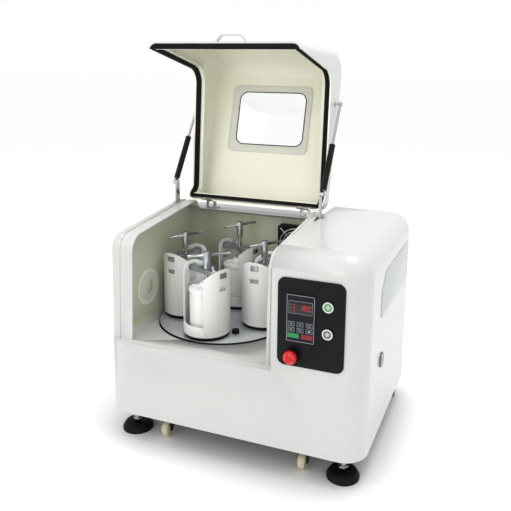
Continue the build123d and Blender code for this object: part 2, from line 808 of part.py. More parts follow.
# Struts: stud on the lid, socket on the rod, cylinder, eye on the bracket
lid_studs = Part()
brackets = Part()
stud_open_y, stud_open_z = opened_point(stud_y, stud_z)
strut_open = math.hypot(stud_open_y - strut_foot_y, stud_open_z - strut_foot_z)
strut_closed = math.hypot(stud_y - strut_foot_y, stud_z - strut_foot_z)
open_turn = math.atan2(stud_open_z - strut_foot_z, stud_open_y - strut_foot_y)
closed_turn = math.atan2(stud_z - strut_foot_z, stud_y - strut_foot_y)
strut_swing = (closed_turn - open_turn) % (2 * math.pi)
strut_stroke = strut_closed - strut_open
mouth_slope = (lobe_z - shoulder_z) / (lobe_y - shoulder_y)
rim_at_foot = shoulder_z + mouth_slope * (strut_foot_y - shoulder_y)
struts = (("left", lid_left, rim_left - strut_inset, -1), ("right", lid_right, right_strut_x, 1))
for name, lid_side, strut_x, side in struts:
    inner_x = strut_x - side * (eye_width / 2 + seat_gap)
    stud_x0 = min(lid_side, inner_x)
    stud = cyl((stud_x0, stud_y, stud_z), (1, 0, 0), stud_r, abs(lid_side - inner_x))
    base_x = lid_side if side > 0 else lid_side - leaf_thickness
    stud = stud + cyl((base_x, stud_y, stud_z), (1, 0, 0), 2 * stud_r, leaf_thickness)
    lid_studs = lid_studs + stud
    along = Vector(0, math.cos(open_turn), math.sin(open_turn))
    foot = Vector(strut_x, strut_foot_y, strut_foot_z)
    eye_x0 = strut_x - eye_width / 2
    cylinder = cyl((eye_x0, foot.Y, foot.Z), (1, 0, 0), eye_r, eye_width)
    cylinder = cylinder + cyl(foot, along, stud_r - seat_gap, 2 * cylinder_r)
    cylinder = cylinder + cyl(foot + along * (1.5 * cylinder_r), along, cylinder_r, cylinder_length)
    cylinder = cylinder - cyl((eye_x0 - overrun, foot.Y, foot.Z), (1, 0, 0), stud_r + run_gap,
        eye_width + 2 * overrun)
    bore_at = foot + along * (1.5 * cylinder_r + wall)
    cylinder = cylinder - cyl(bore_at, along, strut_rod_r + run_gap, cylinder_length + overrun)
    parts["strut_cylinder_" + name] = cylinder
    head = foot + along * strut_open
    rod = cyl((eye_x0, head.Y, head.Z), (1, 0, 0), eye_r, eye_width)
    rod_reach = strut_closed - 1.5 * cylinder_r - wall - stand_off
    rod = rod + cyl(head - along * rod_reach, along, strut_rod_r, rod_reach)
    parts["strut_rod_" + name] = rod
    tab_x0 = inner_x - tab_thickness if side > 0 else inner_x
    surface = console_top if side > 0 else rim_at_foot
    slope = 0 if side > 0 else mouth_slope
    half_tab = tab_width / 2
    tab = prism_x(
        [
            (strut_foot_y - half_tab, surface - slope * half_tab, 0),
            (strut_foot_y + half_tab, surface + slope * half_tab, 0),
            (strut_foot_y + eye_r, strut_foot_z + eye_r, eye_r - stand_off),
            (strut_foot_y - eye_r, strut_foot_z + eye_r, eye_r - stand_off),
        ],
        tab_x0,
        tab_x0 + tab_thickness,
    )
    ledge_x = tab_x0 + side * tab_thickness if side > 0 else tab_x0 - 2 * tab_thickness
    lift = leaf_thickness
    tab = tab + prism_x(
        [
            (strut_foot_y - half_tab, surface - slope * half_tab, 0),
            (strut_foot_y + half_tab, surface + slope * half_tab, 0),
            (strut_foot_y + half_tab, surface + slope * half_tab + lift, 0),
            (strut_foot_y - half_tab, surface - slope * half_tab + lift, 0),
        ],
        ledge_x,
        ledge_x + 2 * tab_thickness + touch,
    )
    pin_x0 = strut_x - (eye_width / 2 + 2 * seat_gap) - stand_off
    pin_x1 = strut_x + (eye_width / 2 + 2 * seat_gap) + stand_off
    tab = tab + cyl((pin_x0, strut_foot_y, strut_foot_z), (1, 0, 0), stud_r, pin_x1 - pin_x0)
    cap_x = strut_x + side * (eye_width / 2 + seat_gap)
    cap_x0 = cap_x if side > 0 else cap_x - leaf_thickness
    tab = tab + cyl((cap_x0, strut_foot_y, strut_foot_z), (1, 0, 0), stud_r + 2 * stand_off,
        leaf_thickness)
    brackets = brackets + tab

parts["lid_shell"] = opened(lid)
parts["lid_seal"] = opened(seal)
parts["window_frame"] = opened(window_frame)
parts["window_pane"] = opened(window_pane)
parts["lid_handle"] = opened(handle)
parts["lid_fittings"] = Compound([opened(lid_leaves), opened(lid_studs)])
parts["casing_fittings"] = Compound([fixed_leaves, brackets, access])


# Control panel, keypad, buttons
parts["control_panel"] = prism_y(
    rounded(panel_x0, panel_x1, panel_z0, panel_z1, panel_r), front - panel_thickness, front
)
panel_front = front - panel_thickness
button_hole = bezel_r - stand_off
estop_hole = estop_stem_r + wall
for hole_x, hole_z, hole_r in (
    (button_x, button_z, button_hole),
    (button_x, button_z - button_drop, button_hole),
    (estop_x, estop_z, estop_hole),
):
    hole = cyl((hole_x, front + overrun, hole_z), (0, -1, 0), hole_r, 2 * overrun)
    parts["control_panel"] = parts["control_panel"] - hole
keypad = prism_y(
    rounded(keypad_x0, keypad_x1, keypad_z0, keypad_z1,
        keypad_thickness), panel_front - keypad_thickness, panel_front
)
parts["keypad"] = keypad
barrel_depth = overrun + panel_thickness
bezels = Part()
for name, button_level in (("start_button", button_z), ("stop_button", button_z - button_drop)):
    at = (button_x, panel_front, button_level)
    bore = button_r + seat_gap
    bezel = tube(at, (0, -1, 0), bezel_r, bore, bezel_height)
    bezel = bezel + cyl(at, (0, 1, 0), button_hole - seat_gap, barrel_depth)
    bezel = bezel - cyl((at[0], at[1] - overrun, at[2]), (0, 1, 0), bore,
        overrun + barrel_depth - tub_wall)
    bezels = bezels + bezel
    cap = cyl((at[0], at[1] + barrel_depth - tub_wall - button_travel - stand_off, at[2]),
        (0, -1, 0), button_r,
              barrel_depth - tub_wall - button_travel - stand_off + bezel_height)
    rim = cap.faces().sort_by(Axis.Y)[0].edges()
    parts[name] = fillet(rim, 2 * stand_off)
at = (estop_x, panel_front, estop_z)
collar_height = estop_height / 4
bore = estop_stem_r + seat_gap
collar = tube(at, (0, -1, 0), estop_r - wall, bore, collar_height)
collar = collar + cyl(at, (0, 1, 0), estop_hole - seat_gap, barrel_depth)
collar = collar - cyl((at[0], at[1] - overrun, at[2]), (0, 1, 0), bore, overrun + barrel_depth - tub_wall)
bezels = bezels + collar
cap_back = collar_height + estop_travel + stand_off
mushroom = cyl((at[0], at[1] - cap_back, at[2]), (0, -1, 0), estop_r, estop_height - cap_back)
mushroom = fillet(mushroom.faces().sort_by(Axis.Y)[0].edges(), wall)
stem = barrel_depth - tub_wall - estop_travel - stand_off
mushroom = mushroom + cyl((at[0], at[1] + stem, at[2]), (0, -1, 0), estop_stem_r,
    stem + cap_back + stand_off)
parts["estop_button"] = mushroom
lock = tube((half_w, lock_y, lock_z), (1, 0, 0), lock_r, barrel_r + run_gap, lock_height)
lock = lock + tube(
    (half_w - overrun, lock_y, lock_z), (1, 0, 0), barrel_r + wall - seat_gap, barrel_r + run_gap, overrun
)
lock_rim = [edge for edge in lock.faces().sort_by(Axis.X)[-1].edges() if edge.radius > barrel_r + wall]
lock = fillet(lock_rim, stand_off)
parts["bezels"] = Compound([bezels, lock])
barrel = cyl((half_w - overrun, lock_y, lock_z), (1, 0, 0), barrel_r, overrun + lock_height)
key_slot = stand_off
barrel = barrel - block(
    half_w + lock_height - 2 * tub_wall, half_w + overrun, lock_y - key_slot, lock_y + key_slot,
    lock_z - barrel_r / 2, lock_z + barrel_r / 2
)
parts["lock_barrel"] = barrel

# Power inlet in the back wall
inlet_plate = block(
    inlet_x - inlet_w - wall, inlet_x + inlet_w + wall, half_d, half_d + panel_thickness,
    inlet_z - inlet_h - wall, inlet_z + inlet_h + wall
)
inlet = inlet_plate + block(
    inlet_x - inlet_w + seat_gap, inlet_x + inlet_w - seat_gap, half_d - overrun, half_d,
    inlet_z - inlet_h + seat_gap, inlet_z + inlet_h - seat_gap
)
inlet = inlet - block(
    inlet_x - inlet_w + wall, inlet_x + inlet_w - wall, half_d - overrun + wall, half_d + overrun,
    inlet_z - inlet_h + wall, inlet_z + inlet_h - wall
)
for pin_share, pin_level in ((-0.4, 0), (0, 0.3), (0.4, 0)):
    pin_x = inlet_x + inlet_w * pin_share
    pin_z = inlet_z + inlet_h * pin_level
    inlet = inlet + block(
        pin_x - tub_wall / 2, pin_x + tub_wall / 2, half_d - overrun + wall - touch, half_d - wall / 2,
        pin_z - tub_wall, pin_z + tub_wall
    )
parts["power_inlet"] = inlet

# Base frame: tray, tubes, uprights, bridge for the bearing, plate for the motor
inside_x = half_w - wall - seat_gap
inside_y = half_d - wall - seat_gap
tray_z = shell_bottom
tray_top = tray_z + tray_thickness
frame_x = inside_x - frame_inset
frame_y = inside_y - frame_inset
inside_r = corner_r - wall - seat_gap
tray = prism_z(rounded(-inside_x, inside_x, -inside_y, inside_y, inside_r), tray_z, tray_top)
air_way = rounded(
    console_left + air_way_margin, frame_x - frame_tube - air_way_margin,
    air_way_y, frame_y - frame_tube - air_way_margin, air_way_margin
)
tray = tray - prism_z(air_way, tray_z - overrun, tray_top + overrun)
ring_z = tray_top + seat_gap
ring_out = block(-frame_x, frame_x, -frame_y, frame_y, ring_z, ring_z + frame_tube)
ring_in = block(
    -frame_x + frame_tube, frame_x - frame_tube, -frame_y + frame_tube, frame_y - frame_tube,
    ring_z - overrun, ring_z + frame_tube + overrun
)
corner_cut = prism_z(
    rounded(-inside_x, inside_x, -inside_y, inside_y, inside_r), tray_z, ring_z + frame_tube
)
ring = (ring_out - ring_in) & corner_cut
half_tube = frame_tube / 2
plates = (
    (spin_x, spin_y, bridge_half_x, bridge_half_y, bearing_r + seat_gap),
    (motor_x, motor_y, motor_plate_half, motor_plate_half, motor_pulley_r + wall),
)
tables = []
for plate_x, plate_y, half_x, half_y, hole_r in plates:
    table = block(
        plate_x - half_x, plate_x + half_x, plate_y - half_y, plate_y + half_y, bridge_z, bridge_z + bridge_thickness
    )
    for post_x in (plate_x - half_x, plate_x + half_x - half_tube):
        for post_y in (plate_y - half_y, plate_y + half_y - half_tube):
            table = table + block(post_x, post_x + half_tube, post_y, post_y + half_tube, ring_z, bridge_z + touch)
    tables.append(table - cyl((plate_x, plate_y, bridge_z - overrun), (0, 0, 1), hole_r, 2 * overrun + bridge_z))

# Levelling feet
feet = []
for side_x in (-1, 1):
    for side_y in (-1, 1):
        at = (side_x * foot_x, side_y * foot_y)
        pad = turned(
            [
                (0, 0, 0),
                (foot_r, 0, 0),
                (foot_r, foot_height * 0.4, 0),
                (foot_r - foot_taper, foot_height, 0),
                (0, foot_height, 0),
            ]
        )
        pad = pad - cyl((0, 0, foot_height - wall), (0, 0, 1), foot_stud_r + seat_gap, overrun)
        stud_top = tray_top + stud_rise
        stud = cyl((0, 0, foot_height - wall), (0, 0, 1), foot_stud_r, stud_top - foot_height + wall)
        for nut_z in (foot_height + wall, tray_z - nut_height, tray_top):
            nut = extrude(Pos(0, 0, nut_z) * RegularPolygon(nut_r, 6), amount=nut_height)
            stud = stud + nut
        feet.append(Pos(at[0], at[1], 0) * pad)
        feet.append(Pos(at[0], at[1], 0) * stud)
        stud_hole = cyl((at[0], at[1], tray_z - overrun), (0, 0, 1), foot_stud_r + seat_gap, 2 * overrun)
        tray = tray - stud_hole
        ring = ring - stud_hole
parts["levelling_feet"] = Compound(feet)

# Castors: rigid forks at the back, swivel forks at the front
axle_z = wheel_r + wheel_lift
cheek_x = wheel_width / 2 + stand_off
plate_z = 2 * wheel_r + wheel_lift + wall
mount_half = wheel_r + wall
rear_forks = Part()
for side_x, name_x in ((-1, "left"), (1, "right")):
    for side_y, name_y in ((-1, "front"), (1, "rear")):
        wheel_x = side_x * castor_x
        wheel_y = side_y * castor_y
        wheel = tube((wheel_x - wheel_width / 2, wheel_y, axle_z), (1, 0, 0), wheel_r,
            axle_r + run_gap, wheel_width)
        outer_edges = [edge for edge in wheel.edges() if edge.geom_type == GeomType.CIRCLE and edge.radius > axle_r + wall]
        parts["wheel_" + name_y + "_" + name_x] = fillet(outer_edges, wall)
        fork = Part()
        for cheek_side in (-1, 1):
            x0 = wheel_x + (cheek_x if cheek_side > 0 else -cheek_x - fork_wall)
            fork = fork + prism_x(
                [
                    (wheel_y - 3 * stand_off - axle_r, axle_z - 2 * axle_r, axle_r),
                    (wheel_y + 3 * stand_off + axle_r, axle_z - 2 * axle_r, axle_r),
                    (wheel_y + swivel_trail * 1.6, plate_z, 0),
                    (wheel_y - swivel_trail * 0.6, plate_z, 0),
                ],
                x0,
                x0 + fork_wall,
            )
        outer_x = cheek_x + fork_wall
        fork = fork + block(
            wheel_x - outer_x, wheel_x + outer_x, wheel_y - swivel_trail * 0.6, wheel_y + swivel_trail * 1.6,
            plate_z - touch, plate_z + fork_wall
        )
        head = outer_x + stand_off
        fork = fork + cyl((wheel_x - head, wheel_y, axle_z), (1, 0, 0), axle_r, 2 * head)
        pivot_y = wheel_y + swivel_trail
        collar_z = plate_z + fork_wall
        collar_r = wheel_width * 0.8
        if name_y == "rear":
            fork = fork + cyl((wheel_x, wheel_y + swivel_trail / 2, collar_z - touch), (0, 0, 1),
                collar_r,
                              tray_z - wall - collar_z + touch)
            fork = fork + block(
                wheel_x - mount_half, wheel_x + mount_half, wheel_y - mount_half, wheel_y + mount_half,
                tray_z - wall - touch, tray_z
            )
            rear_forks = rear_forks + fork
        else:
            fork = fork + cyl((wheel_x, pivot_y, collar_z - touch), (0, 0, 1), collar_r,
                              tray_z - wall - collar_z - seat_gap + touch)
            pin_r = axle_r + stand_off
            fork = fork - cyl((wheel_x, pivot_y, plate_z - overrun), (0, 0, 1), pin_r + run_gap,
                2 * overrun)
            parts["castor_fork_" + name_x] = fork
            tray = tray + block(
                wheel_x - mount_half, wheel_x + mount_half, pivot_y - mount_half, pivot_y + mount_half,
                tray_z - wall, tray_z + touch
            )
            tray = tray + cyl((wheel_x, pivot_y, plate_z), (0, 0, 1), pin_r, tray_z - plate_z)
parts["base_frame"] = Compound([tray, ring, *tables, rear_forks])
box_z = ring_z + frame_tube
parts["controller_box"] = block(box_x0, box_x1, box_y0, box_y1, box_z, box_z + box_height)


# Turntable: deck flush with the floor, knob and slots, shaft with its big pulley
deck = cyl((spin_x, spin_y, deck_top - deck_thickness), (0, 0, 1), deck_radius, deck_thickness)
deck = fillet(deck.faces().sort_by(Axis.Z)[-1].edges(), stand_off)
knob_at = (knob_x, knob_y, deck_top)
knob_lobes = 5
knob = cyl(knob_at, (0, 0, 1), knob_r * 0.75, knob_height)
for index in range(knob_lobes):
    turn = math.radians(360 * index / knob_lobes)
    lobe_at = (knob_x + knob_r * 0.7 * math.cos(turn), knob_y + knob_r * 0.7 * math.sin(turn), deck_top)
    knob = knob + cyl(lobe_at, (0, 0, 1), knob_r * 0.3, knob_height)
planets = []
for index in range(planet_count):
    turn = math.radians(first_angle + 360 * index / planet_count)
    planets.append((spin_x + orbit * math.cos(turn), spin_y + orbit * math.sin(turn), turn))
for planet_x, planet_y, turn in planets:
    deck = deck - cyl((planet_x, planet_y, 0), (0, 0, 1), planet_shaft_r + run_gap, 2 * deck_top)
for slot_share in (0.05, 0.5):
    slot_y = spin_y + orbit * slot_share
    deck = deck - block(
        spin_x + slot_length, spin_x + 2 * slot_length, slot_y - slot_width / 2, slot_y + slot_width / 2,
        deck_top - slot_width, deck_top + overrun
    )
parts["turntable"] = Compound([deck, knob])
shaft_low = drive_level - main_pulley_h
hub_flange = 3 * stand_off
shaft_top = deck_top - deck_thickness
shaft = cyl((spin_x, spin_y, shaft_low), (0, 0, 1), shaft_r, shaft_top - shaft_low)
shaft = shaft + cyl((spin_x, spin_y, shaft_top - hub_flange), (0, 0, 1), 2 * shaft_r, hub_flange)
pulley_low = drive_level - main_pulley_h / 2
groove_half = drive_belt_width / 2 + stand_off
groove_depth = drive_belt_depth + stand_off


def grooved(at_x, at_y, radius):
    body = cyl((at_x, at_y, pulley_low), (0, 0, 1), radius, main_pulley_h)
    groove = tube(
        (at_x, at_y, drive_level - groove_half), (0, 0, 1),
            radius + overrun, radius - groove_depth, 2 * groove_half
    )
    return body - groove


shaft = shaft + grooved(spin_x, spin_y, main_pulley_r)
parts["main_shaft"] = shaft

# Bearing housing on the bridge, with the fixed pulley for the planet belts on top
bearing_low = bridge_z - bearing_flange
belt_base = well_floor + wall + stand_off
sun_low = belt_base - 2 * stand_off
sun_top = belt_base + (planet_count - 1) * belt_level_step + belt_width + 2 * stand_off
bearing = cyl((spin_x, spin_y, bearing_low), (0, 0, 1), bearing_flange_r, bearing_flange)
bearing = bearing + cyl((spin_x, spin_y, bearing_low), (0, 0, 1), bearing_r, sun_low - bearing_low)
bearing = bearing + cyl((spin_x, spin_y, sun_low - touch), (0, 0, 1), sun_r, sun_top - sun_low + touch)
bearing = bearing - cyl((spin_x, spin_y, 0), (0, 0, 1), shaft_r + run_gap, deck_top)
parts["bearing_housing"] = bearing


def belt_face(a, ra, b, rb):
    """Face inside an open belt round two circles."""
    along = Vector(b[0] - a[0], b[1] - a[1])
    span = along.length
    lie = math.atan2(along.Y, along.X)
    spread = math.acos((ra - rb) / span)

    def on(centre, radius, angle):
        return Vector(centre[0] + radius * math.cos(angle), centre[1] + radius * math.sin(angle))

    upper_a = on(a, ra, lie + spread)
    lower_a = on(a, ra, lie - spread)
    upper_b = on(b, rb, lie + spread)
    lower_b = on(b, rb, lie - spread)
    return make_face(
        [
            Line(lower_a, lower_b),
            ThreePointArc(lower_b, on(b, rb, lie), upper_b),
            Line(upper_b, upper_a),
            ThreePointArc(upper_a, on(a, ra, lie + math.pi), lower_a),
        ]
    )


def belt(a, ra, b, rb, thickness, low_z, breadth):
    outer = extrude(Pos(0, 0, low_z) * belt_face(a, ra + thickness, b, rb + thickness), amount=breadth)
    inner = extrude(Pos(0, 0, low_z - overrun) * belt_face(a, ra, b, rb), amount=breadth + 2 * overrun)
    return outer - inner


drive_low = drive_level - drive_belt_width / 2
run_in = groove_depth - belt_gap
parts["drive_belt"] = belt(
    (spin_x, spin_y), main_pulley_r - run_in, (motor_x, motor_y), motor_pulley_r - run_in,
    drive_belt_depth, drive_low, drive_belt_width
)

# Motor over its plate, shaft and pulley below
motor_low = bridge_z + bridge_thickness
motor = cyl((motor_x, motor_y, motor_low), (0, 0, 1), motor_r, motor_length)
motor = fillet(motor.faces().sort_by(Axis.Z)[-1].edges(), 2 * wall)
fin_count = 16
for index in range(fin_count):
    fin = block(motor_r - stand_off, motor_r + wall, -stand_off, stand_off, motor_low + 4 * wall,
        motor_low + motor_length - 4 * wall)
    motor = motor + Pos(motor_x, motor_y, 0) * Rot(0, 0, 360 * index / fin_count) * fin
motor = motor - cyl((motor_x, motor_y, 0), (0, 0, 1), motor_shaft_r + run_gap,
    motor_low + motor_length / 2)
parts["motor"] = motor
rotor_top = motor_low + motor_length / 2 - wall
motor_rotor = cyl((motor_x, motor_y, pulley_low), (0, 0, 1), motor_shaft_r, rotor_top - pulley_low)
parts["motor_rotor"] = motor_rotor + grooved(motor_x, motor_y, motor_pulley_r)

# Planets: holder with shaft and pulley, jar, jar lid, crossbar, clamping screw
holder_base = deck_top + seat_gap
ring_top = flange_height + holder_ring_height
jar_seat = flange_height + holder_floor
jar_top = jar_seat + jar_height
lid_top_z = jar_top + jar_lid_height
bar_low = lid_top_z + crossbar_over_lid
bar_high = bar_low + crossbar_height
cheek_bevel = holder_height / 8
planet_belts = []
for index, (planet_x, planet_y, turn) in enumerate(planets):
    facing = math.degrees(turn) + holder_turn_shares[index] * 360
    here = Pos(planet_x, planet_y, holder_base) * Rot(0, 0, facing)
    holder = cyl((0, 0, 0), (0, 0, 1), holder_r - flange_inset, flange_height)
    cup = cyl((0, 0, flange_height - touch), (0, 0, 1), holder_r, holder_height - flange_height + touch)
    cup = cup - cyl((0, 0, jar_seat), (0, 0, 1), holder_r - holder_wall, holder_height)
    gap = 2 * holder_r * math.cos(math.radians(cheek_half_angle))
    side_gap = prism_x(
        [
            (-gap / 2, ring_top, wall),
            (gap / 2, ring_top, wall),
            (gap / 2, holder_height - cheek_bevel, 0),
            (gap / 2 + cheek_bevel, holder_height + stand_off, 0),
            (-gap / 2 - cheek_bevel, holder_height + stand_off, 0),
            (-gap / 2, holder_height - cheek_bevel, 0),
        ],
        -holder_r - overrun,
        holder_r + overrun,
    )
    cup = cup - side_gap
    bar_window = block(
        -holder_r - overrun, holder_r + overrun, -crossbar_width / 2 - stand_off, crossbar_width / 2 + stand_off,
        bar_low - stand_off, bar_high + stand_off
    )
    hook_half = crossbar_width / 2 + 2 * stand_off
    hook_window = block(
        -holder_r - overrun, holder_r + overrun, -hook_half, hook_half,
        bar_low - 3 * crossbar_height, bar_low - 2 * crossbar_height + stand_off
    )
    turned_cuts = Rot(0, 0, 90) * (bar_window + hook_window)
    cup = cup - turned_cuts
    holder = holder + cup
    own_low = belt_base + index * belt_level_step - holder_base
    holder = holder + cyl((0, 0, own_low), (0, 0, 1), planet_shaft_r, touch - own_low)
    holder = holder + cyl((0, 0, own_low - stand_off), (0, 0, 1), planet_pulley_r,
        belt_width + 2 * stand_off)
    tag = planet_tags[index]
    parts["holder_" + tag] = here * holder
    jar_low = jar_seat
    jar = turned(
        [
            (0, jar_low, 0),
            (jar_r, jar_low, wall),
            (jar_r, jar_top, 0),
            (jar_r - jar_wall, jar_top, 0),
            (jar_r - jar_wall, jar_low + jar_wall, jar_wall / 2),
            (0, jar_low + jar_wall, 0),
        ]
    )
    parts["jar_" + tag] = here * jar
    lid_step = jar_lid_height / 3
    jar_lid = turned(
        [
            (0, jar_top - lid_step, 0),
            (jar_r - jar_wall - soft_gap, jar_top - lid_step, 0),
            (jar_r - jar_wall - soft_gap, jar_top, 0),
            (jar_lid_r, jar_top, stand_off),
            (jar_lid_r, jar_top + lid_step, stand_off),
            (jar_lid_r - wall, jar_top + lid_step + stand_off, 0),
            (jar_lid_r - wall, jar_top + 2 * lid_step, stand_off),
            (3 * hub_r, jar_top + 2 * lid_step, 0),
            (2 * hub_r, lid_top_z, stand_off),
            (0, lid_top_z, 0),
        ]
    )
    parts["jar_lid_" + tag] = here * jar_lid
    reach = holder_r + stand_off
    bar = block(-crossbar_width / 2, crossbar_width / 2, -reach, reach, bar_low, bar_high)
    bar = bar - cyl((0, 0, bar_low - overrun), (0, 0, 1), screw_r + run_gap, 3 * overrun)
    lock_pin_y = 2.6 * hub_r
    bar = bar + cyl((0, lock_pin_y, bar_high - touch), (0, 0, 1), hub_r / 2, crossbar_height)
    parts["crossbar_" + tag] = here * bar
    hub_low = bar_high + soft_gap + hub_height * screw_rise_shares[index]
    screw = cyl((0, 0, lid_top_z + soft_gap), (0, 0, 1), screw_r, hub_low - lid_top_z)
    screw = screw + cyl((0, 0, lid_top_z + soft_gap), (0, 0, 1), hub_r, 2 * wall)
    screw = screw + cyl((0, 0, hub_low), (0, 0, 1), hub_r, hub_height)
    rod_z = hub_low + hub_height * 0.8
    lever_turn = math.radians(lever_turn_shares[index] * 360)
    lever_dir = Vector(math.cos(lever_turn), math.sin(lever_turn), 0)
    slide_share = lever_slide_shares[index]
    start = Vector(0, 0, rod_z) - lever_dir * (rod_length * slide_share)
    screw = screw + cyl(start, lever_dir, rod_r, rod_length)
    parts["clamp_screw_" + tag] = Pos(planet_x, planet_y, holder_base) * screw
    planet_belts.append(
        belt(
            (spin_x, spin_y), sun_r + belt_gap, (planet_x, planet_y), planet_pulley_r + belt_gap,
            belt_thickness, belt_base + index * belt_level_step, belt_width
        )
    )
parts["planet_belts"] = Compound(planet_belts)

# The origin lies on the floor under the middle of the machine's outline
whole = Compound(list(parts.values())).bounding_box()
shift = Pos(-(whole.min.X + whole.max.X) / 2, -(whole.min.Y + whole.max.Y) / 2, -whole.min.Z)

os.makedirs("parts", exist_ok=True)
for name, solid in parts.items():
    export_step(shift * solid, "parts/" + name + ".step")
print(len(parts), "pieces; box", whole)
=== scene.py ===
import math

import bmesh
import bpy
from bpy.props import FloatProperty, FloatVectorProperty, IntProperty, PointerProperty, StringProperty
from mathutils import Matrix, Vector


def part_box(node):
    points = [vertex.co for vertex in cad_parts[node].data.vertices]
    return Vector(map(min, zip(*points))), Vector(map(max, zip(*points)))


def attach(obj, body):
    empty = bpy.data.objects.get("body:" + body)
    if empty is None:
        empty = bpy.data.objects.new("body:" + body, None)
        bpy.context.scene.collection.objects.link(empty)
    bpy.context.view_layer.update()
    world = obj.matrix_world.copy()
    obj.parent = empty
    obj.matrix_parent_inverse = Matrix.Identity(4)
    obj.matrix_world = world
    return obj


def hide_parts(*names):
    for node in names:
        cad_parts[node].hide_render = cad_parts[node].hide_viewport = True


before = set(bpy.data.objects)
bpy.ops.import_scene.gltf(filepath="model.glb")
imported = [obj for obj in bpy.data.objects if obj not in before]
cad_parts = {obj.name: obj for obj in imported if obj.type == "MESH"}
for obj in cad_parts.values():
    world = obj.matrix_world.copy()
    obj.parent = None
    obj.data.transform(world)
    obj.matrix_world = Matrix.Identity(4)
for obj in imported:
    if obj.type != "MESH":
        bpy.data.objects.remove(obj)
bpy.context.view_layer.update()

bl_info = {
    "name": "Planetary ball mill",
    "version": (1, 0, 0),
    "blender": (4, 5, 0),
    "location": "3D View > Sidebar > Mill",
    "description": "Finishes and detail pieces of a planetary ball mill over its construction model",
    "category": "Object",
}

MM = 0.001
FINISHES = {}


# Shader maths


class Value:
    """A socket that takes part in sums."""

    def __init__(self, recipe, socket):
        self.recipe = recipe
        self.socket = socket

    def _maths(self, operation, first, second):
        node = self.recipe.node("ShaderNodeMath", {"operation": operation}, {0: first, 1: second})
        return Value(self.recipe, node.outputs[0])

    def __add__(self, other):
        return self._maths("ADD", self, other)

    def __radd__(self, other):
        return self._maths("ADD", other, self)

    def __sub__(self, other):
        return self._maths("SUBTRACT", self, other)

    def __rsub__(self, other):
        return self._maths("SUBTRACT", other, self)

    def __mul__(self, other):
        return self._maths("MULTIPLY", self, other)

    def __rmul__(self, other):
        return self._maths("MULTIPLY", other, self)

    def __pow__(self, other):
        return self._maths("POWER", self, other)


class Recipe:
    """One material and the nodes in it."""

    def __init__(self, name, color, roughness, metallic=0.0, **constants):
        self.material = bpy.data.materials.new(name)
        FINISHES[name] = self.material
        self.material.use_nodes = True
        self.material.diffuse_color = (*color, 1.0)
        self.tree = self.material.node_tree
        self.shader = self.tree.nodes["Principled BSDF"]
        self.put("Base Color", (*color, 1.0))
        self.put("Roughness", roughness)
        self.put("Metallic", metallic)
        for key, value in constants.items():
            self.put(key.replace("_", " "), value)

    def put(self, name, value):
        self.join(value, self.shader.inputs[name])

    def join(self, value, socket):
        if isinstance(value, Value):
            value = value.socket
        if isinstance(value, bpy.types.NodeSocket):
            self.tree.links.new(value, socket)
        else:
            socket.default_value = value

    def node(self, kind, settings=None, inputs=None):
        made = self.tree.nodes.new(kind)
        for key, value in (settings or {}).items():
            setattr(made, key, value)
        for key, value in (inputs or {}).items():
            self.join(value, made.inputs[key])
        return made

    def noise(self, scale, detail=3.0, roughness=0.5, stretch=(1, 1, 1)):
        """Noise on the piece's own coordinates, finer along an axis whose stretch is larger."""
        where = self.node("ShaderNodeTexCoord")
        spot = self.node("ShaderNodeMapping", None, {"Vector": where.outputs["Object"], "Scale": stretch})
        inputs = {"Vector": spot.outputs[0], "Scale": scale, "Detail": detail, "Roughness": roughness}
        made = self.node("ShaderNodeTexNoise", None, inputs)
        return Value(self, made.outputs["Fac"])

    def blend(self, share, first, second):
        made = self.node("ShaderNodeMix", {"data_type": "RGBA"}, {0: share})
        for socket, value in ((made.inputs[6], first), (made.inputs[7], second)):
            self.join(value if isinstance(value, (Value, bpy.types.NodeSocket)) else (*value, 1.0), socket)
        return made.outputs[2]

    def bump(self, height, strength, distance):
        inputs = {"Height": height, "Strength": strength, "Distance": distance}
        made = self.node("ShaderNodeBump", None, inputs)
        self.put("Normal", made.outputs[0])


def paint(name, color, roughness, mottling=0.03, speck=900.0, texture=0.02, **constants):
    """Sprayed or moulded surface: faint mottling, fine orange peel and a little change of gloss."""
    recipe = Recipe(name, color, roughness, **constants)
    cloud = recipe.noise(4.0, 4.0)
    darker = tuple(c * (1 - mottling) for c in color)
    lighter = tuple(min(1.0, c * (1 + mottling)) for c in color)
    recipe.put("Base Color", recipe.blend(cloud, darker, lighter))
    fine = recipe.noise(speck, 2.0)
    recipe.put("Roughness", roughness + (fine - 0.5) * 0.1)
    recipe.bump(fine, texture, 0.0004)
    return recipe


def metal(name, color, roughness, grain=(1, 1, 1), grain_scale=260.0, strength=0.06):
    """Bare or plated metal with a directional grain and slight tarnish."""
    recipe = Recipe(name, color, roughness, 1.0)
    lines = recipe.noise(grain_scale, 4.0, 0.6, grain)
    cloud = recipe.noise(14.0, 3.0)
    darker = tuple(c * 0.82 for c in color)
    recipe.put("Base Color", recipe.blend(lines * 0.5 + cloud * 0.5, darker, color))
    recipe.put("Roughness", roughness + (lines - 0.5) * 0.22 + (cloud - 0.5) * 0.1)
    recipe.bump(lines, strength, 0.0003)
    return recipe


def rubber(name, color, roughness=0.75):
    """Matt rubber with pores and a little dust."""
    recipe = Recipe(name, color, roughness, Specular_IOR_Level=0.2)
    pores = recipe.noise(1500.0, 2.0)
    dust = recipe.noise(18.0, 4.0)
    pale = tuple(c + 0.015 for c in color)
    recipe.put("Base Color", recipe.blend((dust ** 3.0) * 1.6, color, pale))
    recipe.put("Roughness", roughness + (dust - 0.5) * 0.15)
    recipe.bump(pores, 0.25, 0.0004)
    return recipe


# Mesh helpers


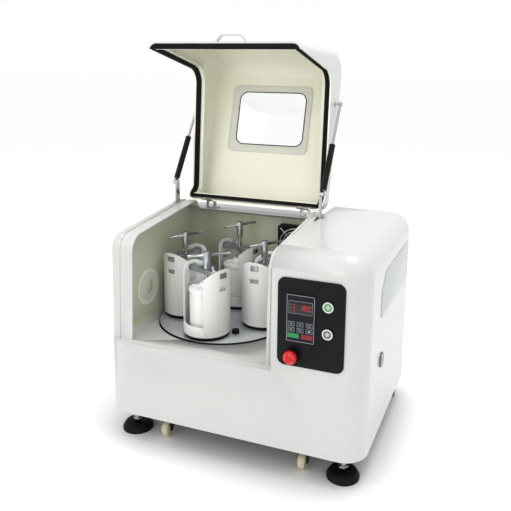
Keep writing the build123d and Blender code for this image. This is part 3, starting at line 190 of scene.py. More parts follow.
def piece(bm, name, body, finishes, smooth=40.0, replaced=()):
    """Turns a bmesh in metres into a finished piece that rides on a body."""
    data = bpy.data.meshes.new(name)
    bm.to_mesh(data)
    bm.free()
    obj = bpy.data.objects.new(name, data)
    bpy.context.scene.collection.objects.link(obj)
    for entry in finishes:
        data.materials.append(FINISHES[entry])
    data.polygons.foreach_set("use_smooth", [True] * len(data.polygons))
    data.set_sharp_from_angle(angle=math.radians(smooth))
    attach(obj, body)
    if replaced:
        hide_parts(*replaced)


def round_edges(bm, edges, width, segments, slide=False):
    """Rounds edges; slide keeps the new corners on the neighbouring edges."""
    bmesh.ops.bevel(
        bm, geom=edges, offset=width, offset_type="OFFSET", segments=segments, profile=0.5, material=-1,
        affect="EDGES", clamp_overlap=True, loop_slide=slide,
    )


def lathe(bm, outline, steps, material, place):
    """Full turn of (radius, height) points about Z, then moved by a matrix."""
    before = set(bm.verts)
    verts = [bm.verts.new((r, 0.0, z)) for r, z in outline]
    edges = [bm.edges.new(pair) for pair in zip(verts, verts[1:])]
    bmesh.ops.spin(
        bm, geom=verts + edges, cent=(0, 0, 0), axis=(0, 0, 1), angle=2 * math.pi, steps=steps,
        use_merge=True, use_duplicate=False,
    )
    made = [v for v in bm.verts if v not in before]
    bmesh.ops.remove_doubles(bm, verts=made, dist=1e-6)
    made = [v for v in bm.verts if v not in before]
    faces = {f for v in made for f in v.link_faces}
    bmesh.ops.recalc_face_normals(bm, faces=list(faces))
    for f in faces:
        f.material_index = material
    bmesh.ops.transform(bm, matrix=place, verts=made)


def axes(x, y, z, origin):
    """Matrix with the given axes and origin."""
    return Matrix([[c[i] for c in (x, y, z, origin)] for i in range(3)] + [[0, 0, 0, 1]])


def facing(origin, out):
    """Matrix whose Z points out of a surface and whose Y points up on it."""
    z = Vector(out).normalized()
    x = Vector((0, 0, 1)).cross(z).normalized()
    return axes(x, z.cross(x), z, origin)


def add_part(bm, part, place, material):
    """Moves a small mesh by a matrix, gives it one of the piece's finishes and adds it to the piece."""
    for face in part.faces:
        face.material_index = material
    bmesh.ops.transform(part, matrix=place, verts=part.verts)
    data = bpy.data.meshes.new("part")
    part.to_mesh(data)
    part.free()
    bm.from_mesh(data)
    bpy.data.meshes.remove(data)


def slab(bm, place, low, high, width, segments=2, material=0):
    """Box between two corners with rounded edges, made about the origin and moved by a matrix."""
    low, high = Vector(low), Vector(high)
    part = bmesh.new()
    bmesh.ops.create_cube(part, size=1.0)
    bmesh.ops.scale(part, vec=high - low, verts=part.verts)
    bmesh.ops.translate(part, vec=(low + high) / 2, verts=part.verts)
    round_edges(part, part.edges[:], width, segments)
    add_part(bm, part, place, material)


def arc_band(bm, place, radius, width, height, start, sweep, material):
    """Part of a flat ring, square in section, standing on the plane of a matrix."""
    part = bmesh.new()
    corners = ((radius, 0.0), (radius + width, 0.0), (radius + width, height), (radius, height))
    face = part.faces.new([part.verts.new((r, 0.0, z)) for r, z in corners])
    bmesh.ops.spin(
        part, geom=[face, *face.edges, *face.verts], cent=(0, 0, 0), axis=(0, 0, 1), angle=sweep, steps=12,
        use_merge=False, use_duplicate=False,
    )
    bmesh.ops.recalc_face_normals(part, faces=part.faces)
    add_part(bm, part, place @ Matrix.Rotation(start, 4, "Z"), material)


def arrow_head(bm, place, radius, top_radius, depth, material):
    """Three-sided wedge whose point lies along the matrix's Y."""
    part = bmesh.new()
    bmesh.ops.create_cone(
        part, cap_ends=True, cap_tris=False, segments=3, radius1=radius, radius2=top_radius, depth=depth
    )
    add_part(bm, part, place, material)


def solids(bm):
    """Groups of joined faces, each with its lowest and highest corner."""
    left = set(bm.faces)
    found = []
    while left:
        group = {left.pop()}
        waiting = list(group)
        while waiting:
            face = waiting.pop()
            for near in (f for e in face.edges for f in e.link_faces):
                if near in left:
                    left.discard(near)
                    group.add(near)
                    waiting.append(near)
        points = [v.co for f in group for v in f.verts]
        low = Vector([min(p[i] for p in points) for i in range(3)])
        high = Vector([max(p[i] for p in points) for i in range(3)])
        found.append((group, low, high))
    return found


def middle(node):
    low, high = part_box(node)
    return (Vector(low) + Vector(high)) / 2


# Settings


def color_setting(name, description, default):
    return FloatVectorProperty(
        name=name, description=description, subtype="COLOR", size=3, default=default
    )


def length_setting(name, description, default):
    return FloatProperty(name=name, description=description, default=default, unit="LENGTH")


class MillSettings(bpy.types.PropertyGroup):
    casing_color: color_setting("Casing", "Colour of the moulded casing and lid", (0.64, 0.645, 0.63))
    chamber_color: color_setting("Chamber", "Colour of the chamber walls", (0.64, 0.64, 0.53))
    jar_color: color_setting("Jars", "Colour of the grinding jars", (0.9, 0.9, 0.89))
    holder_color: color_setting("Holders", "Colour of the jar holders", (0.8, 0.815, 0.795))
    stop_color: color_setting("Emergency stop", "Colour of the mushroom head", (0.6, 0.01, 0.015))
    reading: StringProperty(name="Reading", description="Digits on the display", default="180")
    floor_size: length_setting("Floor", "Half the side of the studio floor", 90.0)
    bead_thickness: length_setting("Window bead", "Thickness of the bead round the window", 0.0028)
    key_rows: IntProperty(
        name="Key rows", description="Rows of grey keys on the keypad", default=2, min=1, max=3
    )


# Operators


class MILL_OT_stage(bpy.types.Operator):
    """Floor, soft light and the camera"""

    bl_idname = "mill.stage"
    bl_label = "Stage"

    def execute(self, context):
        self.floor(context, context.scene.mill.floor_size)
        self.light(context)
        self.camera(context)
        context.scene.view_settings.view_transform = "Standard"
        context.scene.view_settings.gamma = 0.8
        return {"FINISHED"}

    def floor(self, context, size):
        recipe = Recipe("studio_floor", (0.9, 0.9, 0.9), 0.6)
        cloud = recipe.noise(0.6, 2.0)
        recipe.put("Base Color", recipe.blend(cloud, (0.985, 0.985, 0.985), (0.995, 0.995, 0.995)))
        bm = bmesh.new()
        bmesh.ops.create_grid(bm, x_segments=1, y_segments=1, size=size)
        data = bpy.data.meshes.new("studio_floor")
        bm.to_mesh(data)
        bm.free()
        data.materials.append(recipe.material)
        floor = bpy.data.objects.new("studio_floor", data)
        context.scene.collection.objects.link(floor)

    def light(self, context):
        world = bpy.data.worlds.new("studio")
        world.use_nodes = True
        background = world.node_tree.nodes["Background"]
        background.inputs["Color"].default_value = (1.0, 1.0, 1.0, 1.0)
        background.inputs["Strength"].default_value = 1.0
        context.scene.world = world
        lamps = (
            ("key", (-1.9, -2.2, 2.6), (0.0, 0.0, 0.5), 1.4, 6.0, (1.0, 0.985, 0.95)),
            ("front", (-0.7, -3.0, 1.5), (-0.1, 0.2, 0.7), 1.2, 10.0, (1.0, 0.985, 0.94)),
            ("side", (3.0, -0.6, 1.6), (0.2, 0.0, 0.4), 1.6, 1.0, (0.9, 0.97, 1.0)),
            ("top", (0.5, 0.1, 3.4), (0.1, 0.0, 0.4), 1.6, 34.0, (0.92, 0.98, 1.0)),
        )
        for name, spot, aim, size, power, color in lamps:
            lamp = bpy.data.lights.new(name, "AREA")
            lamp.shape = "SQUARE"
            lamp.size = size
            lamp.energy = power
            lamp.color = color
            obj = bpy.data.objects.new(name, lamp)
            obj.matrix_world = facing(spot, Vector(spot) - Vector(aim))
            context.scene.collection.objects.link(obj)

    def camera(self, context):
        """Camera fitted to the photograph: place, turn, tilt and roll."""
        camera = bpy.data.cameras.new("photo_view")
        camera.sensor_width = 36.0
        camera.lens = 45.29
        camera.shift_x = -0.0357
        camera.shift_y = -0.1281
        camera.clip_end = 300.0
        spot = Vector((0.67669, -1.71978, 1.04511))
        yaw, pitch, roll = (math.radians(a) for a in (21.074, 10.643, -0.808))
        level = Vector((-math.sin(yaw), math.cos(yaw), 0.0)) * math.cos(pitch)
        ahead = level - Vector((0.0, 0.0, math.sin(pitch)))
        right = Vector((math.cos(yaw), math.sin(yaw), 0.0))
        down = ahead.cross(right)
        across = right * math.cos(roll) + down * math.sin(roll)
        drop = down * math.cos(roll) - right * math.sin(roll)
        obj = bpy.data.objects.new("photo_view", camera)
        obj.matrix_world = axes(across, -drop, -ahead, spot)
        context.scene.collection.objects.link(obj)
        context.scene.camera = obj


class MILL_OT_finishes(bpy.types.Operator):
    """Every finish of the machine"""

    bl_idname = "mill.finishes"
    bl_label = "Finishes"

    def execute(self, context):
        settings = context.scene.mill
        white = tuple(settings.casing_color)
        # Painted shade: a darker, cooler copy of the casing white for the recessed side panel, standing in
        # for the shadow it lies in
        shade = (0.82, 0.84, 0.85)
        paint("white_moulding", white, 0.28, 0.012, Coat_Weight=0.25, Coat_Roughness=0.08)
        paint("panel_white_painted_shade", tuple(c * s for c, s in zip(white, shade)), 0.3, 0.012, Coat_Weight=0.25)
        paint("chamber_paint", tuple(settings.chamber_color), 0.42, 0.03, 500.0, 0.04)
        paint("lid_lining", (0.92, 0.91, 0.8), 0.3, 0.012, Coat_Weight=0.3, Coat_Roughness=0.1)
        # Painted shade: a darker grey for the recessed seal ledge, standing in for the shadow in that recess
        paint("ledge_painted_shade", (0.68, 0.68, 0.66), 0.5, 0.03)
        paint("cream_sheet", (0.74, 0.74, 0.68), 0.4, 0.02)
        paint("vent_grey", (0.8, 0.8, 0.74), 0.45, 0.03)
        paint("handle_coat", (0.66, 0.67, 0.66), 0.35, 0.02)
        paint(
            "jar_nylon", tuple(settings.jar_color), 0.38, 0.01, 700.0, 0.03,
            Subsurface_Weight=0.15, Subsurface_Radius=(0.01, 0.01, 0.01),
        )
        paint("holder_coat", tuple(settings.holder_color), 0.4, 0.02, 1400.0, 0.08)
        paint("ivory_nylon", (0.62, 0.58, 0.44), 0.45, 0.06)
        paint("frame_paint", (0.05, 0.05, 0.055), 0.5, 0.1)
        paint("motor_paint", (0.12, 0.14, 0.17), 0.45, 0.08)
        paint("box_plastic", (0.035, 0.035, 0.04), 0.5, 0.1)
        paint("gloss_black", (0.01, 0.01, 0.012), 0.25, 0.1, Specular_IOR_Level=0.35)
        paint("black_plastic", (0.012, 0.012, 0.013), 0.42, 0.15, 1200.0, 0.1, Specular_IOR_Level=0.25)
        paint("panel_film", (0.012, 0.013, 0.016), 0.4, 0.12, 2200.0, 0.12, Specular_IOR_Level=0.25)
        paint("keypad_film", (0.02, 0.022, 0.03), 0.3, 0.1, 2200.0, 0.06, Specular_IOR_Level=0.25)
        paint("display_glass", (0.008, 0.004, 0.005), 0.08, 0.1, Coat_Weight=0.6)
        paint("key_line", (0.55, 0.57, 0.6), 0.45, 0.05)
        paint("key_grey", (0.05, 0.06, 0.08), 0.4, 0.08)
        paint("key_green", (0.05, 0.3, 0.12), 0.35, 0.08)
        paint("key_maroon", (0.28, 0.03, 0.06), 0.35, 0.08)
        glow = {"Emission_Color": (1.0, 0.04, 0.03, 1.0), "Emission_Strength": 0.5}
        paint("digit_red", (0.6, 0.03, 0.03), 0.3, 0.05, **glow)
        paint("green_lens", (0.22, 0.5, 0.22), 0.2, 0.06, Transmission_Weight=0.1)
        paint("red_plastic", tuple(settings.stop_color), 0.28, 0.05, Coat_Weight=0.3)
        paint("pale_red", (0.75, 0.16, 0.15), 0.35, 0.05)
        rubber("seal_rubber", (0.01, 0.01, 0.011))
        rubber("belt_rubber", (0.012, 0.012, 0.012))
        rubber("foot_rubber", (0.012, 0.012, 0.013), 0.55)
        metal("deck_steel", (0.74, 0.76, 0.79), 0.42, (1, 14, 1), 60.0).put("Metallic", 0.5)
        metal("bright_zinc", (0.62, 0.63, 0.64), 0.25)
        metal("clamp_steel", (0.62, 0.64, 0.67), 0.18)
        metal("bar_steel", (0.55, 0.57, 0.6), 0.3)
        metal("turned_steel", (0.5, 0.5, 0.52), 0.3, (1, 1, 12))
        metal("dark_fork", (0.1, 0.1, 0.11), 0.4)
        metal("cast_iron", (0.12, 0.12, 0.13), 0.55)
        metal("chrome", (0.72, 0.73, 0.74), 0.12, strength=0.02)
        metal("dark_chrome", (0.3, 0.3, 0.31), 0.22, strength=0.02)
        metal("silver_cap", (0.6, 0.61, 0.62), 0.3)
        glass = Recipe("clear_sheet", (0.97, 0.985, 0.98), 0.04, IOR=1.45, Transmission_Weight=1.0)
        glass.put("Roughness", 0.02 + glass.noise(30.0, 3.0) * 0.05)
        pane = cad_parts["window_pane"].data
        pane.materials.clear()
        pane.materials.append(glass.material)
        return {"FINISHED"}


# Detail on construction pieces


def merged(node):
    """Copy of a construction piece's mesh with its doubles merged and its flat faces joined."""
    bm = bmesh.new()
    bm.from_mesh(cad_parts[node].data)
    bmesh.ops.remove_doubles(bm, verts=bm.verts, dist=2e-6)
    flat = math.radians(0.5)
    bmesh.ops.dissolve_limit(bm, angle_limit=flat, verts=bm.verts, edges=bm.edges, delimit={"NORMAL"})
    return bm


def refine(node, body, finishes, choose=None, width=0.0, segments=2, smooth=38.0, sort=None):
    """Finished copy of a construction piece: softened edges, and a finish chosen by face or by solid."""
    bm = merged(node)
    for face in bm.faces:
        face.material_index = int(choose(face.calc_center_median(), face.normal)) if choose else 0
    if sort:
        for group, low, high in solids(bm):
            index = sort(low, high)
            for face in group:
                face.material_index = index or face.material_index
    if width:
        corner = math.radians(50)
        sharp = [
            e for e in bm.edges
            if len(e.link_faces) == 2 and e.calc_face_angle(0.0) > corner and e.calc_length() > 2 * width
        ]
        round_edges(bm, sharp, width, segments, True)
    piece(bm, node + "_finish", body, finishes, smooth, (node,))


def border_rings(edges):
    """Closed rings of corners along the border edges of a surface."""
    left = dict.fromkeys(edges)
    found = []
    while left:
        edge = next(iter(left))
        ring = [edge.verts[0]]
        while edge is not None:
            del left[edge]
            ring.append(edge.other_vert(ring[-1]))
            edge = next((e for e in ring[-1].link_edges if e in left), None)
        found.append(ring[:-1])
    return found


class MILL_OT_casing(bpy.types.Operator):
    """Casing with its seal ledge, chamber walls, access panel and hinge and strut brackets"""

    bl_idname = "mill.casing"
    bl_label = "Casing"

    def execute(self, context):
        rim_width = 37 * MM
        ledge_width = 15.5 * MM
        seal_inset = 11 * MM
        ledge_end = 190 * MM
        lip_top, mouth_top = 289.5 * MM, 625 * MM
        slack = 0.5 * MM
        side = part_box("casing")[1][0]
        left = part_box("casing")[0][0] + rim_width
        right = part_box("lid_seal")[1][0] + seal_inset

        # Faces of the recessed seal ledge, which get the grey of painted shade
        def ledge(at, normal):
            on_left = left - slack < at.x < left + ledge_width
            on_right = right - ledge_width < at.x < right + slack
            faces_out = normal.z > 0.3 or normal.y < -0.8
            above_lip = lip_top < at.z < mouth_top and at.y < ledge_end
            return (on_left or on_right) and faces_out and above_lip

        refine("casing", "cabinet", ("white_moulding", "ledge_painted_shade"), ledge)
        deck_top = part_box("turntable")[1][2]

        def shelf(at, normal):
            return normal.z > 0.5 and at.z < deck_top

        refine("chamber_tub", "cabinet", ("chamber_paint", "white_moulding"), shelf)

        def cover(low, high):
            return int(high.x > side)

        # The side panel beyond the casing's side gets the casing white with painted shade
        refine("casing_fittings", "cabinet", ("bright_zinc", "panel_white_painted_shade"), None, 0.4 * MM, sort=cover)
        return {"FINISHED"}


class MILL_OT_lid(bpy.types.Operator):
    """Lid shell, seal, window and handle"""

    bl_idname = "mill.lid"
    bl_label = "Lid"

    def execute(self, context):
        inside = middle("lid_shell")

        def lining(at, normal):
            return (inside - at).dot(normal) > 0

        refine("lid_shell", "lid", ("white_moulding", "lid_lining"), lining)
        refine("lid_seal", "lid", ("seal_rubber",), None, 2.6 * MM, 3, 60.0)
        refine("window_frame", "lid", ("cream_sheet",), None, 0.5 * MM)
        refine("lid_handle", "lid", ("handle_coat",), None, 1.2 * MM, 3)
        refine("lid_fittings", "lid", ("bright_zinc",), None, 0.4 * MM)
        self.bead(context.scene.mill.bead_thickness)
        return {"FINISHED"}

    def bead(self, thickness):
        """Dark bead that holds the pane, along the inner edge of the window frame's front."""
        level_slack, lift = 0.5 * MM, 0.2 * MM
        screw_reach = 80 * MM
        bm = merged("window_frame")
        front = min(bm.faces, key=lambda f: f.normal.y * f.calc_area())
        normal = front.normal.copy()
        level = front.calc_center_median().dot(normal)
        plate = {
            f for f in bm.faces
            if f.normal.dot(normal) > 0.999 and abs(f.calc_center_median().dot(normal) - level) < level_slack
        }
        border = [e for e in bm.edges if sum(f in plate for f in e.link_faces) == 1]
        centre = sum((v.co for e in border for v in e.verts), Vector()) / (2 * len(border))

        def reach(ring):
            return max((v.co - centre).length for v in ring)

        inner = min((ring for ring in border_rings(border) if reach(ring) > screw_reach), key=reach)
        points = [v.co + normal * lift for v in inner]
        bm.free()
        curve = bpy.data.curves.new("window_bead", "CURVE")
        curve.dimensions = "3D"
        curve.bevel_depth = thickness / 2
        curve.bevel_resolution = 3
        spline = curve.splines.new("POLY")
        spline.points.add(len(points) - 1)
        for point, at in zip(spline.points, points):
            point.co = (*at, 1.0)
        spline.use_cyclic_u = True
        holder = bpy.data.objects.new("window_bead_line", curve)
        bpy.context.scene.collection.objects.link(holder)
        bpy.context.view_layer.update()
        graph = bpy.context.evaluated_depsgraph_get()
        data = bpy.data.meshes.new_from_object(holder.evaluated_get(graph))
        bpy.data.objects.remove(holder)
        bm = bmesh.new()
        bm.from_mesh(data)
        bpy.data.meshes.remove(data)
        piece(bm, "window_bead", "lid", ("black_plastic",))


class MILL_OT_struts(bpy.types.Operator):
    """Gas struts: black tubes with plated ends and polished rods"""

    bl_idname = "mill.struts"
    bl_label = "Struts"

    def execute(self, context):
        eye_radius = 8 * MM
        end_length = 12.5 * MM
        for side in ("left", "right"):
            cylinder, strut_rod = "strut_cylinder_" + side, "strut_rod_" + side
            low = Vector(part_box(cylinder)[0])
            foot = Vector((middle(cylinder).x, low.y + eye_radius, low.z + eye_radius))

            def plated(at, normal, foot=foot):
                return (at - foot).length < end_length

            refine(cylinder, cylinder, ("gloss_black", "bright_zinc"), plated, 0.8 * MM, 3)
            refine(strut_rod, strut_rod, ("turned_steel",), None, 0.5 * MM)
        return {"FINISHED"}


class MILL_OT_planets(bpy.types.Operator):
    """Jar holders, jars, lids, crossbars and clamping screws"""

    bl_idname = "mill.planets"
    bl_label = "Planets"

    def execute(self, context):
        foot_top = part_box("turntable")[1][2] - 1.5 * MM

        def foot(at, normal):
            return at.z < foot_top

        for tag in ("front", "right", "rear", "left"):
            planet, screw = "planet_" + tag, "screw_" + tag
            axis = middle("jar_" + tag)
            place = Matrix.Translation((axis.x, axis.y, 0))
            refine("holder_" + tag, planet, ("holder_coat", "black_plastic"), foot, 0.7 * MM)
            self.jar("jar_" + tag, tag, planet, place)
            self.cap("jar_lid_" + tag, tag, planet, place)
            refine("crossbar_" + tag, planet, ("bar_steel",), None, 0.6 * MM)
            refine("clamp_screw_" + tag, screw, ("clamp_steel",), None, 0.5 * MM)
            self.thread(tag, screw, place)
        return {"FINISHED"}

    def jar(self, node, tag, planet, place):
        """Turned nylon jar with a groove near its foot and a step for its lid."""
        low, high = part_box(node)
        r = (high[0] - low[0]) / 2 - 0.05 * MM
        z0, z1 = low[2], high[2]
        height = z1 - z0
        wall = 8 * MM
        groove = r - 0.9 * MM
        step = r - 1.5 * MM
        outline = [
            (0, z0), (r - 4 * MM, z0), (r - 1 * MM, z0 + 1 * MM), (r, z0 + 4 * MM), (r, z0 + 0.18 * height),
            (groove, z0 + 0.185 * height), (groove, z0 + 0.2 * height), (r, z0 + 0.205 * height),
            (r, z1 - 9 * MM), (step, z1 - 8.5 * MM), (step, z1 - 0.5 * MM), (r - 2 * MM, z1),
            (r - wall, z1), (r - wall, z0 + wall + 3 * MM), (r - wall - 3 * MM, z0 + wall), (0, z0 + wall),
        ]
        bm = bmesh.new()
        lathe(bm, outline, 72, 0, place)
        piece(bm, "jar_turned_" + tag, planet, ("jar_nylon",), 35.0, (node,))

    def cap(self, node, tag, planet, place):
        """Jar lid with a plug below and six ribs round its boss."""
        low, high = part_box(node)
        r = (high[0] - low[0]) / 2 - 0.05 * MM
        z0, z1 = low[2], high[2]
        plug, plug_wide = 40 * MM, 41 * MM
        plug_height = 8 * MM
        rib_half = 2.5 * MM
        outline = [
            (0, z0), (plug, z0), (plug_wide, z0 + 1 * MM), (plug_wide, z0 + plug_height),
            (r - 1 * MM, z0 + plug_height), (r, z0 + 9 * MM), (r, z0 + 15 * MM),
            (r - 1.5 * MM, z0 + 16.5 * MM), (r - 9 * MM, z0 + 17.5 * MM), (r - 13 * MM, z0 + 19 * MM),
            (0.45 * r, z0 + 21 * MM), (0.36 * r, z1 - 1 * MM), (0.34 * r, z1), (0, z1),
        ]
        bm = bmesh.new()
        lathe(bm, outline, 72, 0, place)
        for number in range(6):
            turn = place @ Matrix.Rotation(math.radians(60 * number + 15), 4, "Z")
            inner, outer = (0.3 * r, -rib_half, z0 + 16 * MM), (0.82 * r, rib_half, z0 + 23 * MM)
            slab(bm, turn, inner, outer, 1.2 * MM)
        piece(bm, "jar_cap_" + tag, planet, ("jar_nylon",), 35.0, (node,))

    def thread(self, tag, screw, place):
        """Rings of the screw's thread between the jar lid and the crossbar."""
        root, flank, crest = 5.6 * MM, 6.0 * MM, 6.45 * MM
        pitch = 2 * MM
        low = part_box("jar_lid_" + tag)[1][2] + 1 * MM
        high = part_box("crossbar_" + tag)[0][2] - 1 * MM
        count = int((high - low) / pitch)
        outline = [(root, low)]
        for index in range(count):
            z = low + index * pitch
            outline += [(flank, z + 0.25 * pitch), (crest, z + 0.5 * pitch), (flank, z + 0.75 * pitch)]
        outline.append((root, low + count * pitch))
        bm = bmesh.new()
        lathe(bm, outline, 32, 0, place)
        piece(bm, "screw_thread_" + tag, screw, ("clamp_steel",), 30.0)


class MILL_OT_turntable(bpy.types.Operator):
    """Turned deck with its black star knob, and the belt drive"""

    bl_idname = "mill.turntable"
    bl_label = "Turntable"

    def execute(self, context):
        knob_width = 60 * MM
        low, high = (Vector(c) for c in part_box("turntable"))
        centre = (low + high) / 2

        def knob(part_low, part_high):
            return int(part_high.x - part_low.x < knob_width)

        def rim(at, normal):
            return abs(normal.z) < 0.5 and (at.xy - centre.xy).length > 0.9 * (high.x - centre.x)

        refine("turntable", "turntable", ("deck_steel", "black_plastic"), rim, 0.4 * MM, sort=knob)
        for node, body, coat in (
            ("main_shaft", "turntable", "turned_steel"), ("bearing_housing", "cabinet", "cast_iron"),
            ("motor", "cabinet", "motor_paint"), ("motor_rotor", "motor_rotor", "turned_steel"),
            ("base_frame", "cabinet", "frame_paint"), ("controller_box", "cabinet", "box_plastic"),
            ("power_inlet", "cabinet", "black_plastic"), ("drive_belt", "cabinet", "belt_rubber"),
            ("planet_belts", "turntable", "belt_rubber"),
        ):
            refine(node, body, (coat,))
        return {"FINISHED"}


class MILL_OT_air(bpy.types.Operator):
    """Chamber fan with its wire guard, and the round vent"""

    bl_idname = "mill.air"
    bl_label = "Fan and vent"

    def execute(self, context):
        guard_depth = 8 * MM

        def guard(low, high):
            return int(high.y - low.y < guard_depth)

        refine("fan_frame", "cabinet", ("black_plastic", "bright_zinc"), None, 0.3 * MM, sort=guard)
        refine("fan_rotor", "fan_rotor", ("black_plastic",))
        low, high = (Vector(c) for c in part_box("vent_grille"))
        centre = (low + high) / 2
        radius = (high.z - low.z) / 2
        wall = Matrix.Translation((low.x, centre.y, centre.z)) @ Matrix.Rotation(math.radians(90), 4, "Y")
        self.rings(wall, radius)
        self.slots(wall, radius)
        return {"FINISHED"}

    def rings(self, wall, radius):
        """Round plate with three grooves, three raised rings and a hub."""
        plate, groove, step = 2.0 * MM, 1.0 * MM, 1.2 * MM
        ring_top = 2.15 * MM
        ring_width = 0.04 * radius
        bm = bmesh.new()
        outline = [(0, 0), (radius, 0), (radius, groove), (radius - 1.0 * MM, plate), (0.8 * radius, plate)]
        for share in (0.76, 0.62, 0.48):
            outline += [
                (share * radius, step), ((share - 0.04) * radius, groove), ((share - 0.06) * radius, plate),
                ((share - 0.1) * radius, plate),
            ]
        lathe(bm, outline, 96, 0, wall)
        lathe(bm, [(0, 2.1 * MM), (0.34 * radius, 2.1 * MM), (0.36 * radius, 1.4 * MM)], 64, 1, wall)
        for share in (0.45, 0.58, 0.72):
            r = share * radius
            ring = [(r, step), (r, ring_top), (r + ring_width, ring_top), (r + ring_width, step)]
            lathe(bm, ring, 80, 1, wall)
        piece(bm, "vent_rings", "cabinet", ("vent_grey", "chamber_paint"), 35.0, ("vent_grille",))

    def slots(self, wall, radius):
        count, half = 44, 0.9 * MM
        inner, outer = (0.84 * radius, -half, 0.6 * MM), (0.95 * radius, half, 2.3 * MM)
        bm = bmesh.new()
        for number in range(count):
            turn = wall @ Matrix.Rotation(math.radians(number * 360 / count), 4, "Z")
            slab(bm, turn, inner, outer, 0.3 * MM, 1)
        piece(bm, "vent_slots", "cabinet", ("cream_sheet",), 35.0)


class Keypad:
    """Sheet of keys: places run from 0 to 1 across and down its face."""

    def __init__(self, node):
        self.low, self.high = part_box(node)
        self.width = self.high[0] - self.low[0]
        self.height = self.high[2] - self.low[2]

    def tile(self, bm, across, down, rise, width=0.4, material=0):
        """Raised plate; its rise and rounding are in millimetres."""
        x0, x1 = (self.low[0] + share * self.width for share in across)
        z1, z0 = (self.high[2] - share * self.height for share in down)
        face, sunk = self.low[1], 0.2 * MM
        corners = (x0, face - rise * MM, z0), (x1, face + sunk, z1)
        slab(bm, Matrix.Identity(4), *corners, width * MM, 2, material)

    def outline(self, bm, across, down, rise, line):
        """Four raised lines round a field; the line's width is in millimetres."""
        x0, x1 = across
        z0, z1 = down
        u, v = line * MM / self.width, line * MM / self.height
        level = (across, (z0, z0 + v)), (across, (z1 - v, z1))
        upright = ((x0, x0 + u), down), ((x1 - u, x1), down)
        for line_across, line_down in level + upright:
            self.tile(bm, line_across, line_down, rise, 0.15)

    def sign(self, bm, across, down, kind):
        """Plain sign on a key: arrow heads, a ring, an open ring or a square."""
        spot = (
            self.low[0] + across * self.width, self.low[1] - 0.8 * MM, self.high[2] - down * self.height
        )
        place = facing(spot, (0, -1, 0))
        size, rise, material = 2.4 * MM, 0.6 * MM, 3
        arrows = {"down": 180, "up": 0, "left": 90}
        sweeps = {"ring": 330, "open ring": 250}
        if kind in arrows:
            turn = Matrix.Rotation(math.radians(arrows[kind]), 4, "Z")
            arrow_head(bm, place @ turn, size, 0.85 * size, 0.8 * MM, material)
        elif kind in sweeps:
            arc_band(bm, place, 0.6 * size, 0.3 * size, rise, 0.0, math.radians(sweeps[kind]), material)
        else:
            half = 0.8 * size
            slab(bm, place, (-half, -half, 0), (half, half, rise), 0.15 * MM, 1, material)


